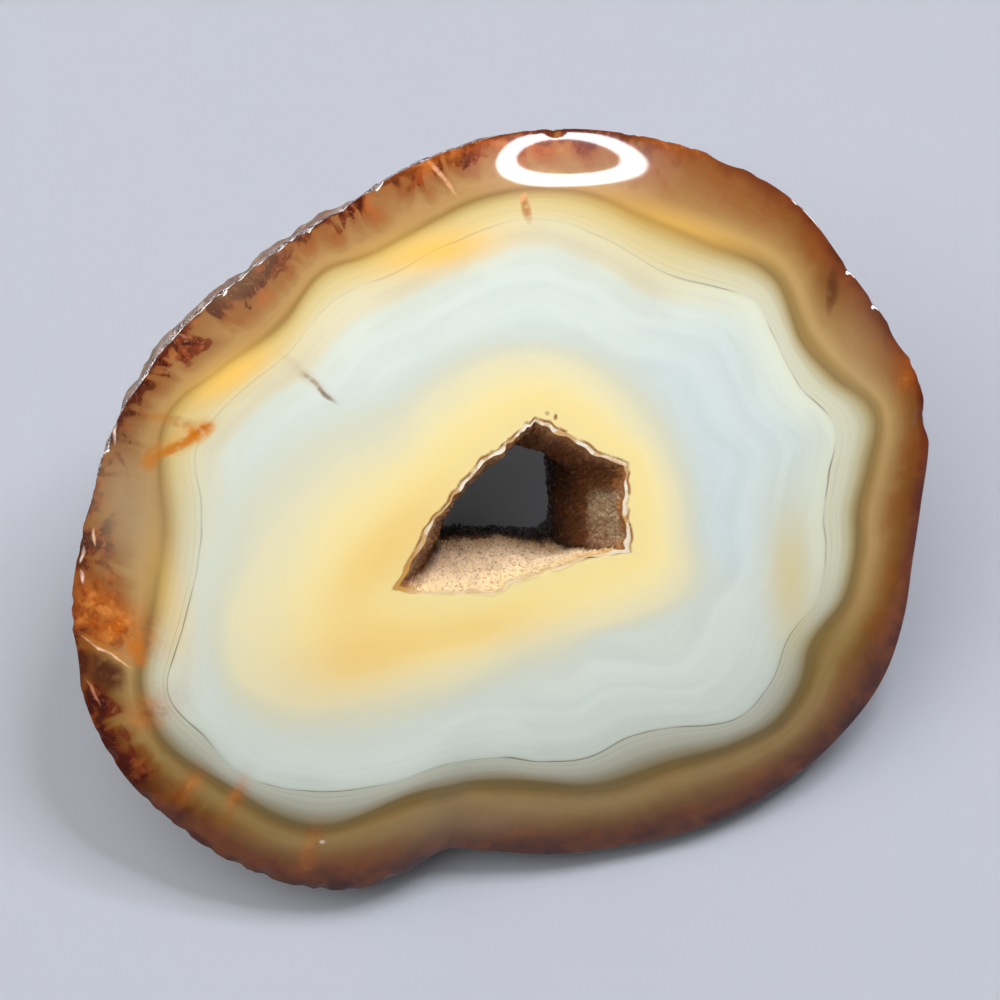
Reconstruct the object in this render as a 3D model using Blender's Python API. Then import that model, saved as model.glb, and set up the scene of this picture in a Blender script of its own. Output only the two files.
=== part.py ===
"""Polished piece of a banded agate nodule, leaning back on a small flat spot.

The stone is one solid: a domed polished face in front, natural rind round the sides and back.
A cavity passes right through it, lined with a thin crust of small crystals.

Lengths are in millimetres up to the point where vertices are written, which is in metres.
The face frame has u to the right, v up the face and w out of the face. Its origin lies in the
plane of the polished edge, straight behind the top of the dome.
"""

import math
import random

import bmesh
import bpy
import numpy as np
from mathutils import Matrix

MM = 0.001

# How the stone stands: the face leans back, is turned a little and rolled in its own plane.
FACE_LEAN = math.radians(40.0)
FACE_TURN = math.radians(15.0)
FACE_ROLL = math.radians(-12.6)
FACE_CENTRE_HEIGHT = 29.8

# Polished face: height of the dome over the plane of its edge, and how late it bends down.
DOME_HEIGHT = 6.0
DOME_POWER = 4.0

# Edge of the polished face: direction in degrees from +u, distance from the centre.
EDGE_OUTLINE = (
    (0, 46.4), (11, 47.7), (22, 47.3), (30, 46.1), (38, 45.6), (47, 46.0), (58, 45.2),
    (73, 43.6), (91, 42.0), (109, 40.0), (122, 39.0), (134, 39.6), (146, 41.4), (158, 43.6),
    (170, 45.4), (182, 47.4), (192, 49.6), (203, 51.2), (213, 51.6), (222, 50.9), (234, 49.6),
    (243, 47.8), (249, 45.7), (254, 42.6), (259, 39.3), (266, 39.0), (277, 39.9), (289, 41.2),
    (300, 43.1), (311, 44.8), (323, 46.4), (336, 47.4), (344, 46.9), (352, 46.2),
)

# Back of the stone: its deepest point and the fullness of the sides above and below it. The
# steepness says how fast the one fullness gives way to the other.
BACK_DEPTH = 34.0
BACK_POINT = (-4.0, 1.0)
WIDTH_POWER_ABOVE = 0.95
WIDTH_POWER_BELOW = 1.08
DEPTH_POWER_ABOVE = 1.15
DEPTH_POWER_BELOW = 2.25
DOWNHILL_STEEPNESS = 0.75

# The middle of the body lies this share of the depth behind the plane of the polished edge.
MIDDLE_SHARE = 0.2

# The rind swells out a little behind the polished edge, most at the upper left.
SWELL = 0.5
SWELL_EXTRA = 0.5
SWELL_DIRECTION = math.radians(130.0)
SWELL_REACH = math.radians(40.0)

# Lumps of the rind: seeded waves of these lengths, with this combined height. They grow to
# full height over the start behind the polished edge. The rind is worn smoother round the spot
# on which the stone rests.
LUMP_SEED = 11
LUMP_COUNT = 14
LUMP_LENGTHS = (9.0, 24.0)
LUMP_HEIGHT = 0.55
LUMP_START = math.radians(14.0)
CALM_POINT = (-3.0, -15.0, -26.0)
CALM_REACH = 13.0

# Shallow shell-shaped chips along the edge: direction, place along the rind, radius and depth.
CHIPS = (
    (176, 0.0, 3.4, 0.8), (194, 0.1, 4.4, 1.0), (158, 0.2, 3.4, 0.8), (140, 0.4, 4.0, 0.9),
    (118, 0.3, 3.6, 0.8), (60, 0.1, 3.4, 0.7), (24, 0.0, 3.4, 0.8), (12, 0.2, 3.0, 0.7),
    (318, 1.2, 6.5, 1.8), (96, 2.4, 6.0, 1.8), (205, 1.9, 7.0, 2.0), (40, 3.1, 6.5, 1.8),
)
CHIP_STEP = math.radians(20.0)

# Mesh fineness of the stone: steps round it, rings from front to back, the share of the rings
# that the polished face takes, and the power that crowds them towards its edge. Edges of the
# cut rest spot shorter than the sliver are merged. Edges sharper than the angle stay sharp.
STONE_STEPS = 86
STONE_RINGS = 25
FACE_SHARE = 0.27
FACE_CROWDING = 0.8
SLIVER = 0.05
SHARP_ANGLE = math.radians(35.0)

# Cavity corners in the face frame, in the same order at the mouth in the polished face,
# at the throat and at the rear mouth.
MOUTH_W = 6.0
THROAT_W = -13.0
REAR_W = -31.0
MOUTH = (
    (-14.5, -6.7), (-10.7, 0.1), (-7.6, 4.4), (-3.9, 8.3), (-1.3, 10.1), (0.9, 12.2),
    (4.5, 10.2), (11.1, 6.8), (11.4, 2.4), (11.7, -3.0), (6.0, -3.9), (0.9, -5.6),
    (-3.2, -7.3), (-9.0, -7.3),
)
THROAT = (
    (-8.6, -6.4), (-7.4, -2.6), (-6.0, 0.6), (-3.8, 3.4), (-1.8, 5.0), (1.0, 6.6),
    (4.0, 6.4), (7.0, 3.6), (7.5, 0.4), (7.6, -6.6), (4.6, -6.9), (1.0, -6.4),
    (-2.2, -6.2), (-5.4, -6.2),
)
REAR = (
    (-6.4, -8.8), (-7.4, -5.2), (-7.0, -1.6), (-5.2, 1.8), (-2.4, 4.0), (1.4, 5.2),
    (5.6, 4.8), (9.2, 2.4), (10.8, -1.4), (10.8, -7.4), (8.6, -9.8), (4.2, -9.7),
    (0.2, -9.5), (-3.6, -9.3),
)
CAVITY_OVERRUN = 3.5
CAVITY_ROWS = 15

# Waves of the cavity wall: their height, their numbers round the wall, their twists in radians
# for each millimetre of depth, the depth at which they start and the depth over which they grow.
WALL_WAVE = 0.35
WALL_WAVE_COUNTS = (3.0, 2.0)
WALL_WAVE_TWISTS = (0.35, 0.22)
WALL_WAVE_START = 1.0
WALL_WAVE_GROWTH = 4.0

# A corner of an outline never moves inward further than if its sides met at this sharpness.
MITRE_LIMIT = 0.5

# Crust of crystals on the cavity wall. In the band behind the rim its crystals are lower, down
# to a share of their height.
CRUST_GAP = 0.3
CRUST_THICKNESS = 0.6
CRUST_REAR_W = -27.6
CRUST_REAR_SLOPE = 0.22
CRUST_STEPS = 34
CRUST_ROWS = 17
CRYSTAL_SEED = 5
CRYSTAL_HEIGHTS = (0.35, 0.95)
RIM_BAND = 2.0
RIM_CRYSTAL_SHARE = 0.25

# Finishes: colour, roughness.
STONE_COLOUR = (0.62, 0.42, 0.22, 1.0)
STONE_ROUGHNESS = 0.25
CRUST_COLOUR = (0.72, 0.55, 0.36, 1.0)
CRUST_ROUGHNESS = 0.5


def clear_scene():
    """Remove every object of the file that this script runs in."""
    for item in list(bpy.data.objects):
        bpy.data.objects.remove(item, do_unlink=True)


def new_collection(name):
    """Make a collection under the scene's own."""
    collection = bpy.data.collections.new(name)
    bpy.context.scene.collection.children.link(collection)
    return collection


def new_material(name, colour, roughness):
    """Make a plain Principled material."""
    material = bpy.data.materials.new(name)
    material.use_nodes = True
    shader = material.node_tree.nodes["Principled BSDF"]
    shader.inputs["Base Color"].default_value = colour
    shader.inputs["Roughness"].default_value = roughness
    shader.inputs["Metallic"].default_value = 0.0
    material.diffuse_color = colour
    return material


def closed_curve(points, degrees):
    """Read a smooth closed curve through (direction, value) points at some directions."""
    knots = np.array([point[0] for point in points], dtype=float)
    values = np.array([point[1] for point in points], dtype=float)
    knots = np.concatenate((knots[-2:] - 360.0, knots, knots[:2] + 360.0))
    values = np.concatenate((values[-2:], values, values[:2]))
    slopes = np.gradient(values, knots)
    degrees = np.mod(degrees, 360.0)
    place = np.clip(np.searchsorted(knots, degrees, side="right") - 1, 0, len(knots) - 2)
    span = knots[place + 1] - knots[place]
    t = (degrees - knots[place]) / span
    start = values[place] * (1.0 + 2.0 * t) * (1.0 - t) ** 2
    end = values[place + 1] * t * t * (3.0 - 2.0 * t)
    bend = slopes[place] * t * (1.0 - t) ** 2 - slopes[place + 1] * t * t * (1.0 - t)
    return start + end + bend * span


def edge_radius(angle):
    """Distance of the polished edge from the face centre, for directions in radians."""
    return closed_curve(EDGE_OUTLINE, np.degrees(angle))


def smooth_step(value):
    """Ease from 0 to 1 as the value goes from 0 to 1."""
    value = np.clip(value, 0.0, 1.0)
    return value * value * (3.0 - 2.0 * value)


def lumps(points):
    """Height of the rind's lumps at points: a sum of seeded plane waves."""
    dice = np.random.default_rng(LUMP_SEED)
    height = np.zeros(len(points))
    for _ in range(LUMP_COUNT):
        direction = dice.normal(size=3)
        direction = direction / np.linalg.norm(direction)
        length = dice.uniform(LUMP_LENGTHS[0], LUMP_LENGTHS[1])
        phase = dice.uniform(0.0, 2.0 * math.pi)
        height += np.sin(points @ direction * (2.0 * math.pi / length) + phase)
    return LUMP_HEIGHT * height / math.sqrt(0.5 * LUMP_COUNT)


def face_points(angle, share):
    """Points of the domed face. The share runs from 0 at the centre to 1 at the edge."""
    radius = edge_radius(angle) * share
    height = DOME_HEIGHT * (1.0 - share ** DOME_POWER)
    return np.stack((radius * np.cos(angle), radius * np.sin(angle), height), axis=1)


def downhill(angle):
    """How far a direction on the face points down the slope, from 0 (up) to 1 (down)."""
    slope = np.sin(angle + FACE_ROLL)
    return smooth_step(0.5 - DOWNHILL_STEEPNESS * slope)


def rind_points(angle, turn):
    """Points of the rind. The turn runs from 0 at the polished edge to 90 degrees at the back.

    Each direction has its own superellipse from the edge to the deepest point of the back.
    """
    below = downhill(angle)
    width_power = WIDTH_POWER_ABOVE + (WIDTH_POWER_BELOW - WIDTH_POWER_ABOVE) * below
    depth_power = DEPTH_POWER_ABOVE + (DEPTH_POWER_BELOW - DEPTH_POWER_ABOVE) * below
    width = np.cos(turn) ** width_power
    depth = BACK_DEPTH * np.sin(turn) ** depth_power
    reach = np.clip(turn / SWELL_REACH, 0.0, 1.0)
    side = 0.5 + 0.5 * np.cos(angle - SWELL_DIRECTION)
    swell = (SWELL + SWELL_EXTRA * side) * np.sin(math.pi * reach) * (1.0 - below)
    radius = edge_radius(angle)
    u = BACK_POINT[0] + (radius * np.cos(angle) - BACK_POINT[0]) * width + swell * np.cos(angle)
    v = BACK_POINT[1] + (radius * np.sin(angle) - BACK_POINT[1]) * width + swell * np.sin(angle)
    return np.stack((u, v, -depth), axis=1)


def outward(points):
    """Rough outward direction of the body at its own surface points."""
    centre = np.array((BACK_POINT[0], BACK_POINT[1], -MIDDLE_SHARE * BACK_DEPTH))
    spread = points - centre
    return spread / np.linalg.norm(spread, axis=1, keepdims=True)


def body_points(angle, fraction):
    """Surface of the uncut stone. The fraction runs from 0 in front to 1 at the back."""
    on_face = fraction <= FACE_SHARE
    share = np.clip(fraction / FACE_SHARE, 0.0, 1.0) ** FACE_CROWDING
    turn = np.clip((fraction - FACE_SHARE) / (1.0 - FACE_SHARE), 0.0, 1.0) * 0.5 * math.pi
    front = face_points(angle, share)
    rind = rind_points(angle, turn)
    rough = lumps(rind) * smooth_step(turn / LUMP_START)
    from_rest = np.linalg.norm(rind - np.array(CALM_POINT), axis=1) / CALM_REACH
    rough = rough * (1.0 - np.exp(-from_rest * from_rest))
    rind = rind + outward(rind) * rough[:, None]
    points = np.where(on_face[:, None], front, rind)
    for degrees, place, radius, depth in CHIPS:
        chip_angle = np.array([math.radians(degrees)])
        centre = rind_points(chip_angle, np.array([place * CHIP_STEP]))[0]
        near = np.linalg.norm(points - centre, axis=1) / radius
        bite = depth * np.clip(1.0 - near * near, 0.0, 1.0)
        points = points - outward(points) * bite[:, None]
    return points


def standing_matrix():
    """Turn the face frame, in millimetres, into the standing pose, in metres."""
    turn = Matrix.Rotation(FACE_TURN, 4, "Z")
    lean = Matrix.Rotation(FACE_LEAN, 4, "X")
    roll = Matrix.Rotation(FACE_ROLL, 4, "Z")
    lift = Matrix.Translation((0.0, 0.0, FACE_CENTRE_HEIGHT * MM))
    return lift @ turn @ lean @ roll @ Matrix.Scale(MM, 4)


def body_mesh(matrix):
    """Mesh of the uncut stone, with its rest spot cut flat at height zero."""
    mesh = bmesh.new()
    bmesh.ops.create_uvsphere(mesh, u_segments=STONE_STEPS, v_segments=STONE_RINGS, radius=1.0)
    mesh.verts.ensure_lookup_table()
    ball = np.array([vertex.co[:] for vertex in mesh.verts])
    angle = np.arctan2(ball[:, 1], ball[:, 0])
    fraction = np.arccos(np.clip(ball[:, 2], -1.0, 1.0)) / math.pi
    points = body_points(angle, fraction)
    for vertex, point in zip(mesh.verts, points):
        vertex.co = point
    mesh.transform(matrix)
    geometry = mesh.verts[:] + mesh.edges[:] + mesh.faces[:]
    cut = bmesh.ops.bisect_plane(
        mesh, geom=geometry, plane_co=(0, 0, 0), plane_no=(0, 0, 1), clear_inner=True)
    corners = [item for item in cut["geom_cut"] if isinstance(item, bmesh.types.BMVert)]
    bmesh.ops.remove_doubles(mesh, verts=corners, dist=SLIVER * MM)
    rim = [edge for edge in mesh.edges if edge.is_boundary]
    bmesh.ops.edgeloop_fill(mesh, edges=rim)
    bmesh.ops.recalc_face_normals(mesh, faces=mesh.faces[:])
    return mesh


def offset_corners(corners, inset):
    """Move the sides of a counterclockwise or clockwise outline inward by the inset."""
    corners = np.asarray(corners, dtype=float)
    ahead = np.roll(corners, -1, axis=0) - corners
    ahead = ahead / np.linalg.norm(ahead, axis=1, keepdims=True)
    behind = np.roll(ahead, 1, axis=0)
    following = np.roll(corners, -1, axis=0)
    area = np.sum(corners[:, 0] * following[:, 1] - following[:, 0] * corners[:, 1])
    sign = math.copysign(1.0, area)
    normal_ahead = sign * np.stack((-ahead[:, 1], ahead[:, 0]), axis=1)
    normal_behind = sign * np.stack((-behind[:, 1], behind[:, 0]), axis=1)
    both = normal_ahead + normal_behind
    share = 1.0 + np.sum(normal_ahead * normal_behind, axis=1, keepdims=True)
    move = both / np.maximum(share, MITRE_LIMIT)
    return corners + inset * move


def side_counts(steps):
    """Deal the steps round the cavity to its sides, by the lengths of the mouth's sides."""
    mouth = np.array(MOUTH)
    lengths = np.linalg.norm(np.roll(mouth, -1, axis=0) - mouth, axis=1)
    return np.maximum(1, np.round(lengths / lengths.sum() * steps).astype(int))


def stepped_outline(corners, inset):
    """Points along an outline of the cavity, moved inward, with a fixed number on each side."""
    corners = offset_corners(corners, inset)
    ahead = np.roll(corners, -1, axis=0)
    sides = []
    for start, end, count in zip(corners, ahead, side_counts(CRUST_STEPS)):
        share = np.arange(count)[:, None] / count
        sides.append(start + (end - start) * share)
    return np.concatenate(sides)


def cavity_ring(w, inset):
    """One ring of the cavity wall at heights w of the face frame, moved inward by the inset.

    The wall draws in fast behind the mouth, runs level through the throat and flares behind it.
    """
    mouth = stepped_outline(MOUTH, inset)
    throat = stepped_outline(THROAT, inset)
    rear = stepped_outline(REAR, inset)
    w = np.broadcast_to(w, len(mouth))
    draw = np.sin(0.5 * math.pi * np.clip((MOUTH_W - w) / (MOUTH_W - THROAT_W), 0.0, 1.0))
    flare = 1.0 - np.cos(0.5 * math.pi * np.clip((THROAT_W - w) / (THROAT_W - REAR_W), 0.0, 1.0))
    ring = mouth + (throat - mouth) * draw[:, None]
    ring = ring + (rear - ring) * flare[:, None]
    spread = ring - ring.mean(axis=0)
    angle = np.arctan2(spread[:, 1], spread[:, 0])
    growth = smooth_step((MOUTH_W - WALL_WAVE_START - w) / WALL_WAVE_GROWTH)
    first = np.sin(WALL_WAVE_COUNTS[0] * angle + WALL_WAVE_TWISTS[0] * w)
    second = np.cos(WALL_WAVE_COUNTS[1] * angle - WALL_WAVE_TWISTS[1] * w)
    wave = WALL_WAVE * growth * first * second
    ring = ring + wave[:, None] * np.stack((np.cos(angle), np.sin(angle)), axis=1)
    return np.column_stack((ring, w))


def crust_ends(inset):
    """Heights at which the crust ends: flush with the dome in front, inside the rind behind."""
    mouth = stepped_outline(MOUTH, inset)
    share = np.hypot(mouth[:, 0], mouth[:, 1]) / edge_radius(np.arctan2(mouth[:, 1], mouth[:, 0]))
    front = DOME_HEIGHT * (1.0 - share ** DOME_POWER)
    rear = stepped_outline(REAR, inset)
    back = CRUST_REAR_W - CRUST_REAR_SLOPE * (rear[:, 1] - rear[:, 1].min())
    return front, back


def loft_wall(mesh, rings):
    """Build an open tube through rings of equally many points.

    Gives back the vertices, ring by ring, and the faces.
    """
    rows = [[mesh.verts.new(point) for point in ring] for ring in rings]
    faces = []
    for lower, upper in zip(rows, rows[1:]):
        for index in range(len(lower)):
            ahead = (index + 1) % len(lower)
            faces.append(mesh.faces.new((lower[index], lower[ahead], upper[ahead], upper[index])))
    return rows, faces


def cutter_mesh(matrix):
    """Closed loft of the cavity's form, running out past both faces of the stone."""
    mesh = bmesh.new()
    heights = np.linspace(MOUTH_W + CAVITY_OVERRUN, REAR_W - CAVITY_OVERRUN, CAVITY_ROWS)
    rings = [cavity_ring(w, 0.0) for w in heights]
    rows, _ = loft_wall(mesh, rings)
    mesh.faces.new(rows[0])
    mesh.faces.new(list(reversed(rows[-1])))
    bmesh.ops.recalc_face_normals(mesh, faces=mesh.faces[:])
    mesh.transform(matrix)
    return mesh


def crust_mesh(matrix):
    """Tube along the cavity wall, with a flat-faced crystal on each cell of its inner side."""
    mesh = bmesh.new()
    dice = random.Random(CRYSTAL_SEED)
    front, back = crust_ends(CRUST_GAP)
    heights = [front + (back - front) * share for share in np.linspace(0.0, 1.0, CRUST_ROWS)]
    outer = [cavity_ring(w, CRUST_GAP) for w in heights]
    inner = [cavity_ring(w, CRUST_GAP + CRUST_THICKNESS) for w in heights]
    outer_rows, _ = loft_wall(mesh, outer)
    inner_rows, cells = loft_wall(mesh, inner)
    for outer_row, inner_row in ((outer_rows[0], inner_rows[0]), (outer_rows[-1], inner_rows[-1])):
        for index in range(len(outer_row)):
            ahead = (index + 1) % len(outer_row)
            corners = (outer_row[index], outer_row[ahead], inner_row[ahead], inner_row[index])
            mesh.faces.new(corners)
    bmesh.ops.recalc_face_normals(mesh, faces=mesh.faces[:])
    middles = [cell.calc_center_median() for cell in cells]
    normals = [cell.normal.copy() for cell in cells]
    poked = bmesh.ops.poke(mesh, faces=cells)
    tips = poked["verts"]
    for tip, middle, normal in zip(tips, middles, normals):
        height = dice.uniform(*CRYSTAL_HEIGHTS)
        rim_fade = min(1.0, max(RIM_CRYSTAL_SHARE, (MOUTH_W - middle.z) / RIM_BAND))
        tip.co = middle + normal * (height * rim_fade)
    mesh.transform(matrix)
    return mesh


def new_object(name, mesh, collection, material=None):
    """Make an object of a bmesh and free the bmesh."""
    data = bpy.data.meshes.new(name)
    mesh.to_mesh(data)
    mesh.free()
    item = bpy.data.objects.new(name, data)
    collection.objects.link(item)
    if material is not None:
        data.materials.append(material)
    return item


def cut_away(item, name, cutter):
    """Cut an object with another by an exact Boolean modifier."""
    modifier = item.modifiers.new(name, "BOOLEAN")
    modifier.operation = "DIFFERENCE"
    modifier.object = cutter
    modifier.solver = "EXACT"


def mark_cutter(item):
    """Show a cutter as wire only, and keep it out of renders."""
    item.hide_render = True
    item.display_type = "WIRE"


def centre_on_origin(items):
    """Move meshes together so that the first one's plan outline is centred on the origin."""
    corners = np.array([vertex.co[:] for vertex in items[0].data.vertices])
    middle = 0.5 * (corners.min(axis=0) + corners.max(axis=0))
    shift = Matrix.Translation((-middle[0], -middle[1], 0.0))
    for item in items:
        item.data.transform(shift)


def main():
    """Build the stone and its crystal crust."""
    clear_scene()
    parts = new_collection("brazilian_agate")
    cutters = new_collection("cutters")
    stone_material = new_material("banded_agate", STONE_COLOUR, STONE_ROUGHNESS)
    crust_material = new_material("crystal_druse", CRUST_COLOUR, CRUST_ROUGHNESS)
    matrix = standing_matrix()

    stone = new_object("agate_stone", body_mesh(matrix), parts, stone_material)
    cavity = new_object("cavity_form", cutter_mesh(matrix), cutters)
    crust = new_object("crystal_crust", crust_mesh(matrix), parts, crust_material)
    centre_on_origin((stone, cavity, crust))
    mark_cutter(cavity)

    stone.data.shade_smooth()
    stone.data.set_sharp_from_angle(angle=SHARP_ANGLE)
    cut_away(stone, "cavity", cavity)


main()
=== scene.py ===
"""Brazilian agate: a polished piece of banded nodule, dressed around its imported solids.

Lengths in the classes are millimetres in the face frame: u to the right, v up the face and w
out of it, with the origin in the plane of the polished edge, behind the top of the dome.
Vertices are written in metres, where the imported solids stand.
"""

import logging
import math
from dataclasses import dataclass, field
from enum import Enum
from typing import Any, Optional, Union

import bpy
import numpy as np
from mathutils import Matrix, Vector


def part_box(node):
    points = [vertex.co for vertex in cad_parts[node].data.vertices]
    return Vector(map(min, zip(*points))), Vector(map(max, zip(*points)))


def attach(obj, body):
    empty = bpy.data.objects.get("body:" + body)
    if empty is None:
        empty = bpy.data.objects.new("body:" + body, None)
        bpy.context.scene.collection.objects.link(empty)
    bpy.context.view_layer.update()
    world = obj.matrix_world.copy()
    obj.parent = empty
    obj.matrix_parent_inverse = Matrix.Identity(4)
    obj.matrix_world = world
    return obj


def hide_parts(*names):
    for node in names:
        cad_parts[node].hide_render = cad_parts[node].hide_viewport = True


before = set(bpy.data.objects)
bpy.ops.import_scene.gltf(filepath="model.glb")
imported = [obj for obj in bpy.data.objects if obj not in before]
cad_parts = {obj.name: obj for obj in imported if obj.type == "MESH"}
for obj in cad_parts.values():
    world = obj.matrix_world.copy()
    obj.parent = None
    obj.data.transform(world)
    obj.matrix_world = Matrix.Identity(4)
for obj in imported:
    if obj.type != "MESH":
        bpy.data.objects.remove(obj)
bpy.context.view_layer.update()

log = logging.getLogger("agate")

MM = 0.001
FULL_TURN = 2.0 * math.pi
QUARTER_TURN = 0.5 * math.pi
QUARTZ_INDEX = 1.54

Array = np.ndarray
Pair = tuple[float, float]
Triple = tuple[float, float, float]
Table = tuple[Pair, ...]
Colour = tuple[float, float, float, float]
Paint = tuple[int, int, int]
Shades = tuple[tuple[float, Paint], ...]


class CadNode(Enum):
    """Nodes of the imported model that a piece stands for."""

    STONE = "agate_stone"
    CRUST = "crystal_crust"


class Slot(Enum):
    """Material slots of the record."""

    STONE = "banded_agate"
    CRUST = "crystal_druse"


class Tint(Enum):
    """Soft stains of the face, each a field on the stone's vertices."""

    AMBER = "amber"
    RUST = "rust"
    UMBER = "umber"
    MIST = "mist"
    OCHRE = "ochre"


class Side(Enum):
    """Parts of the way round where the bands have colours of their own, each a field. On the low
    side these colours are partly painted shade.
    """

    HONEY = "honey"
    SHADED_LOW_SIDE = "shaded_low_side"
    FLAME = "scorched"


def pigment(red: int, green: int, blue: int) -> Colour:
    """Turn a colour in screen values into linear light.

    Args:
        red: Red, from 0 to 255.
        green: Green.
        blue: Blue.

    Returns:
        The colour with full alpha.
    """
    shares = [value / 255.0 for value in (red, green, blue)]
    linear = [s / 12.92 if s <= 0.04045 else ((s + 0.055) / 1.055) ** 2.4 for s in shares]
    return (linear[0], linear[1], linear[2], 1.0)


def ease(value: Array) -> Array:
    """Ease from 0 to 1 by three squares less two cubes of the clipped value."""
    value = np.clip(value, 0.0, 1.0)
    return value * value * (3.0 - 2.0 * value)


def between(start: Array, end: Array, share: Array) -> Array:
    """Go from one array to another by a share."""
    return start + (end - start) * share


def turned(angle: Array) -> Array:
    """Unit vectors in the directions of an angle, in a new last axis."""
    return np.stack((np.cos(angle), np.sin(angle)), axis=-1)


def draws(cells: Array, seed: int) -> Array:
    """Give each lattice cell three even random numbers, worked out from its indices alone.

    Each is the fractional part of a large multiple of the sine of a mix of the indices.

    Args:
        cells: Whole-number indices, three in the last axis.
        seed: Number that picks one set of draws.

    Returns:
        Numbers from 0 to 1, three in the last axis.
    """
    mix = np.array(((127.1, 269.5, 419.2), (311.7, 183.3, 371.9), (74.7, 246.1, 124.6)))
    return np.mod(np.sin(cells @ mix + 0.37 * seed) * 43758.5453, 1.0)


def nearest_point(points: Array, cell: float, seed: int) -> Array:
    """Distance, in cells, to the nearest of the random points of a cubic lattice.

    Args:
        points: Places in the face frame.
        cell: Side of a lattice cell, which holds one random point.
        seed: Number that picks the random points.

    Returns:
        One distance for each place.
    """
    scaled = points / cell
    home = np.floor(scaled)
    nearest = np.full(points.shape[:-1], math.inf)
    for step in np.ndindex(3, 3, 3):
        neighbour = home + np.array(step) - 1.0
        gap = neighbour + draws(neighbour, seed) - scaled
        nearest = np.minimum(nearest, np.linalg.norm(gap, axis=-1))
    return nearest


@dataclass(frozen=True)
class Waves:
    """Seeded sum of plane waves, for lumps and wrinkles."""

    seed: int
    count: int
    lengths: Pair

    def height(self, points: Array) -> Array:
        """Sum the sines of place along direction over length, to a mean square of one.

        Args:
            points: Places in the face frame.

        Returns:
            One height for each place.
        """
        dice = np.random.default_rng(self.seed)
        total = np.zeros(points.shape[:-1])
        for _ in range(self.count):
            direction = dice.normal(size=3)
            direction = direction / np.linalg.norm(direction)
            length = dice.uniform(*self.lengths)
            phase = dice.uniform(0.0, FULL_TURN)
            total += np.sin(points @ direction * (FULL_TURN / length) + phase)
        return total / math.sqrt(0.5 * self.count)


@dataclass(frozen=True)
class Contour:
    """Closed line on the face, by its distance from the face centre in some directions."""

    points: Table

    def radius(self, angle: Array) -> Array:
        """Read the distance by cubics through the points, with the mean slope at each point.

        Args:
            angle: Directions in radians.

        Returns:
            One distance for each direction.
        """
        knots = np.array([point[0] for point in self.points], dtype=float)
        values = np.array([point[1] for point in self.points], dtype=float)
        knots = np.concatenate((knots[-2:] - 360.0, knots, knots[:2] + 360.0))
        values = np.concatenate((values[-2:], values, values[:2]))
        slopes = np.gradient(values, knots)
        degrees = np.mod(np.degrees(angle), 360.0)
        at = np.clip(np.searchsorted(knots, degrees, side="right") - 1, 0, len(knots) - 2)
        span = knots[at + 1] - knots[at]
        t = (degrees - knots[at]) / span
        start = values[at] * (1.0 + 2.0 * t) * (1.0 - t) ** 2
        end = values[at + 1] * t * t * (3.0 - 2.0 * t)
        bend = slopes[at] * t * (1.0 - t) ** 2 - slopes[at + 1] * t * t * (1.0 - t)
        return start + end + bend * span


@dataclass(frozen=True)
class Stain:
    """Soft-edged spot of colour on the face, longer one way than the other."""

    u: float
    v: float
    length: float
    width: float
    turn: float = 0.0
    strength: float = 1.0

    def amount(self, points: Array) -> Array:
        """Strength times exp(-(along / length)^2 - (across / width)^2), turned by the angle.

        Args:
            points: Places in the face frame.

        Returns:
            The stain's strength at each place.
        """
        cosine, sine = math.cos(math.radians(self.turn)), math.sin(math.radians(self.turn))
        right, up = points[..., 0] - self.u, points[..., 1] - self.v
        along = (right * cosine + up * sine) / self.length
        across = (up * cosine - right * sine) / self.width
        return self.strength * np.exp(-along * along - across * across)


@dataclass(frozen=True)
class Cloud:
    """Cloudy pattern: blots a millimetre, number and strength of finer ones, and how bent.

    The span is where its noise passes from bare to a full patch.
    """

    scale: float
    detail: float = 2.0
    roughness: float = 0.5
    twist: float = 0.0
    span: Pair = (0.0, 1.0)


@dataclass(frozen=True)
class Coat:
    """Paint that is laid over a colour, and its greatest share."""

    paint: Paint
    strength: float = 1.0


@dataclass(frozen=True)
class Sector:
    """Range of directions on the face, in degrees, with soft ends."""

    centre: float
    half: float
    fade: float

    def share(self, angle: Array) -> Array:
        """1 within the half width of the centre, easing to 0 over the fade.

        Args:
            angle: Directions in radians.

        Returns:
            One share for each direction.
        """
        away = np.abs(np.mod(np.degrees(angle) - self.centre + 180.0, 360.0) - 180.0)
        return ease((self.half + self.fade - away) / self.fade)


@dataclass(frozen=True)
class Chip:
    """Shallow shell-shaped flake scar: direction in degrees, place along the rind, size."""

    degrees: float
    place: float
    radius: float
    depth: float


@dataclass(frozen=True)
class Pose:
    """How the stone stands: its face leans back, is turned a little and rolled in its plane."""

    lean: float = math.radians(40.0)
    turn: float = math.radians(15.0)
    roll: float = math.radians(-12.6)
    height: float = 29.8
    shift: Pair = (0.0, 0.0)

    def rotation(self) -> Array:
        """Turn the face frame into the standing pose: rolled, then leant back, then turned.

        Returns:
            The three by three matrix.
        """
        turn = Matrix.Rotation(self.turn, 3, "Z")
        lean = Matrix.Rotation(self.lean, 3, "X")
        roll = Matrix.Rotation(self.roll, 3, "Z")
        return np.array(turn @ lean @ roll)

    def centre(self) -> Array:
        """Where the origin of the face frame stands, in millimetres."""
        return np.array((self.shift[0], self.shift[1], self.height))

    def stand(self, points: Array) -> Array:
        """Turn and lift places of the face frame, still in millimetres."""
        return points @ self.rotation().T + self.centre()


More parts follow.
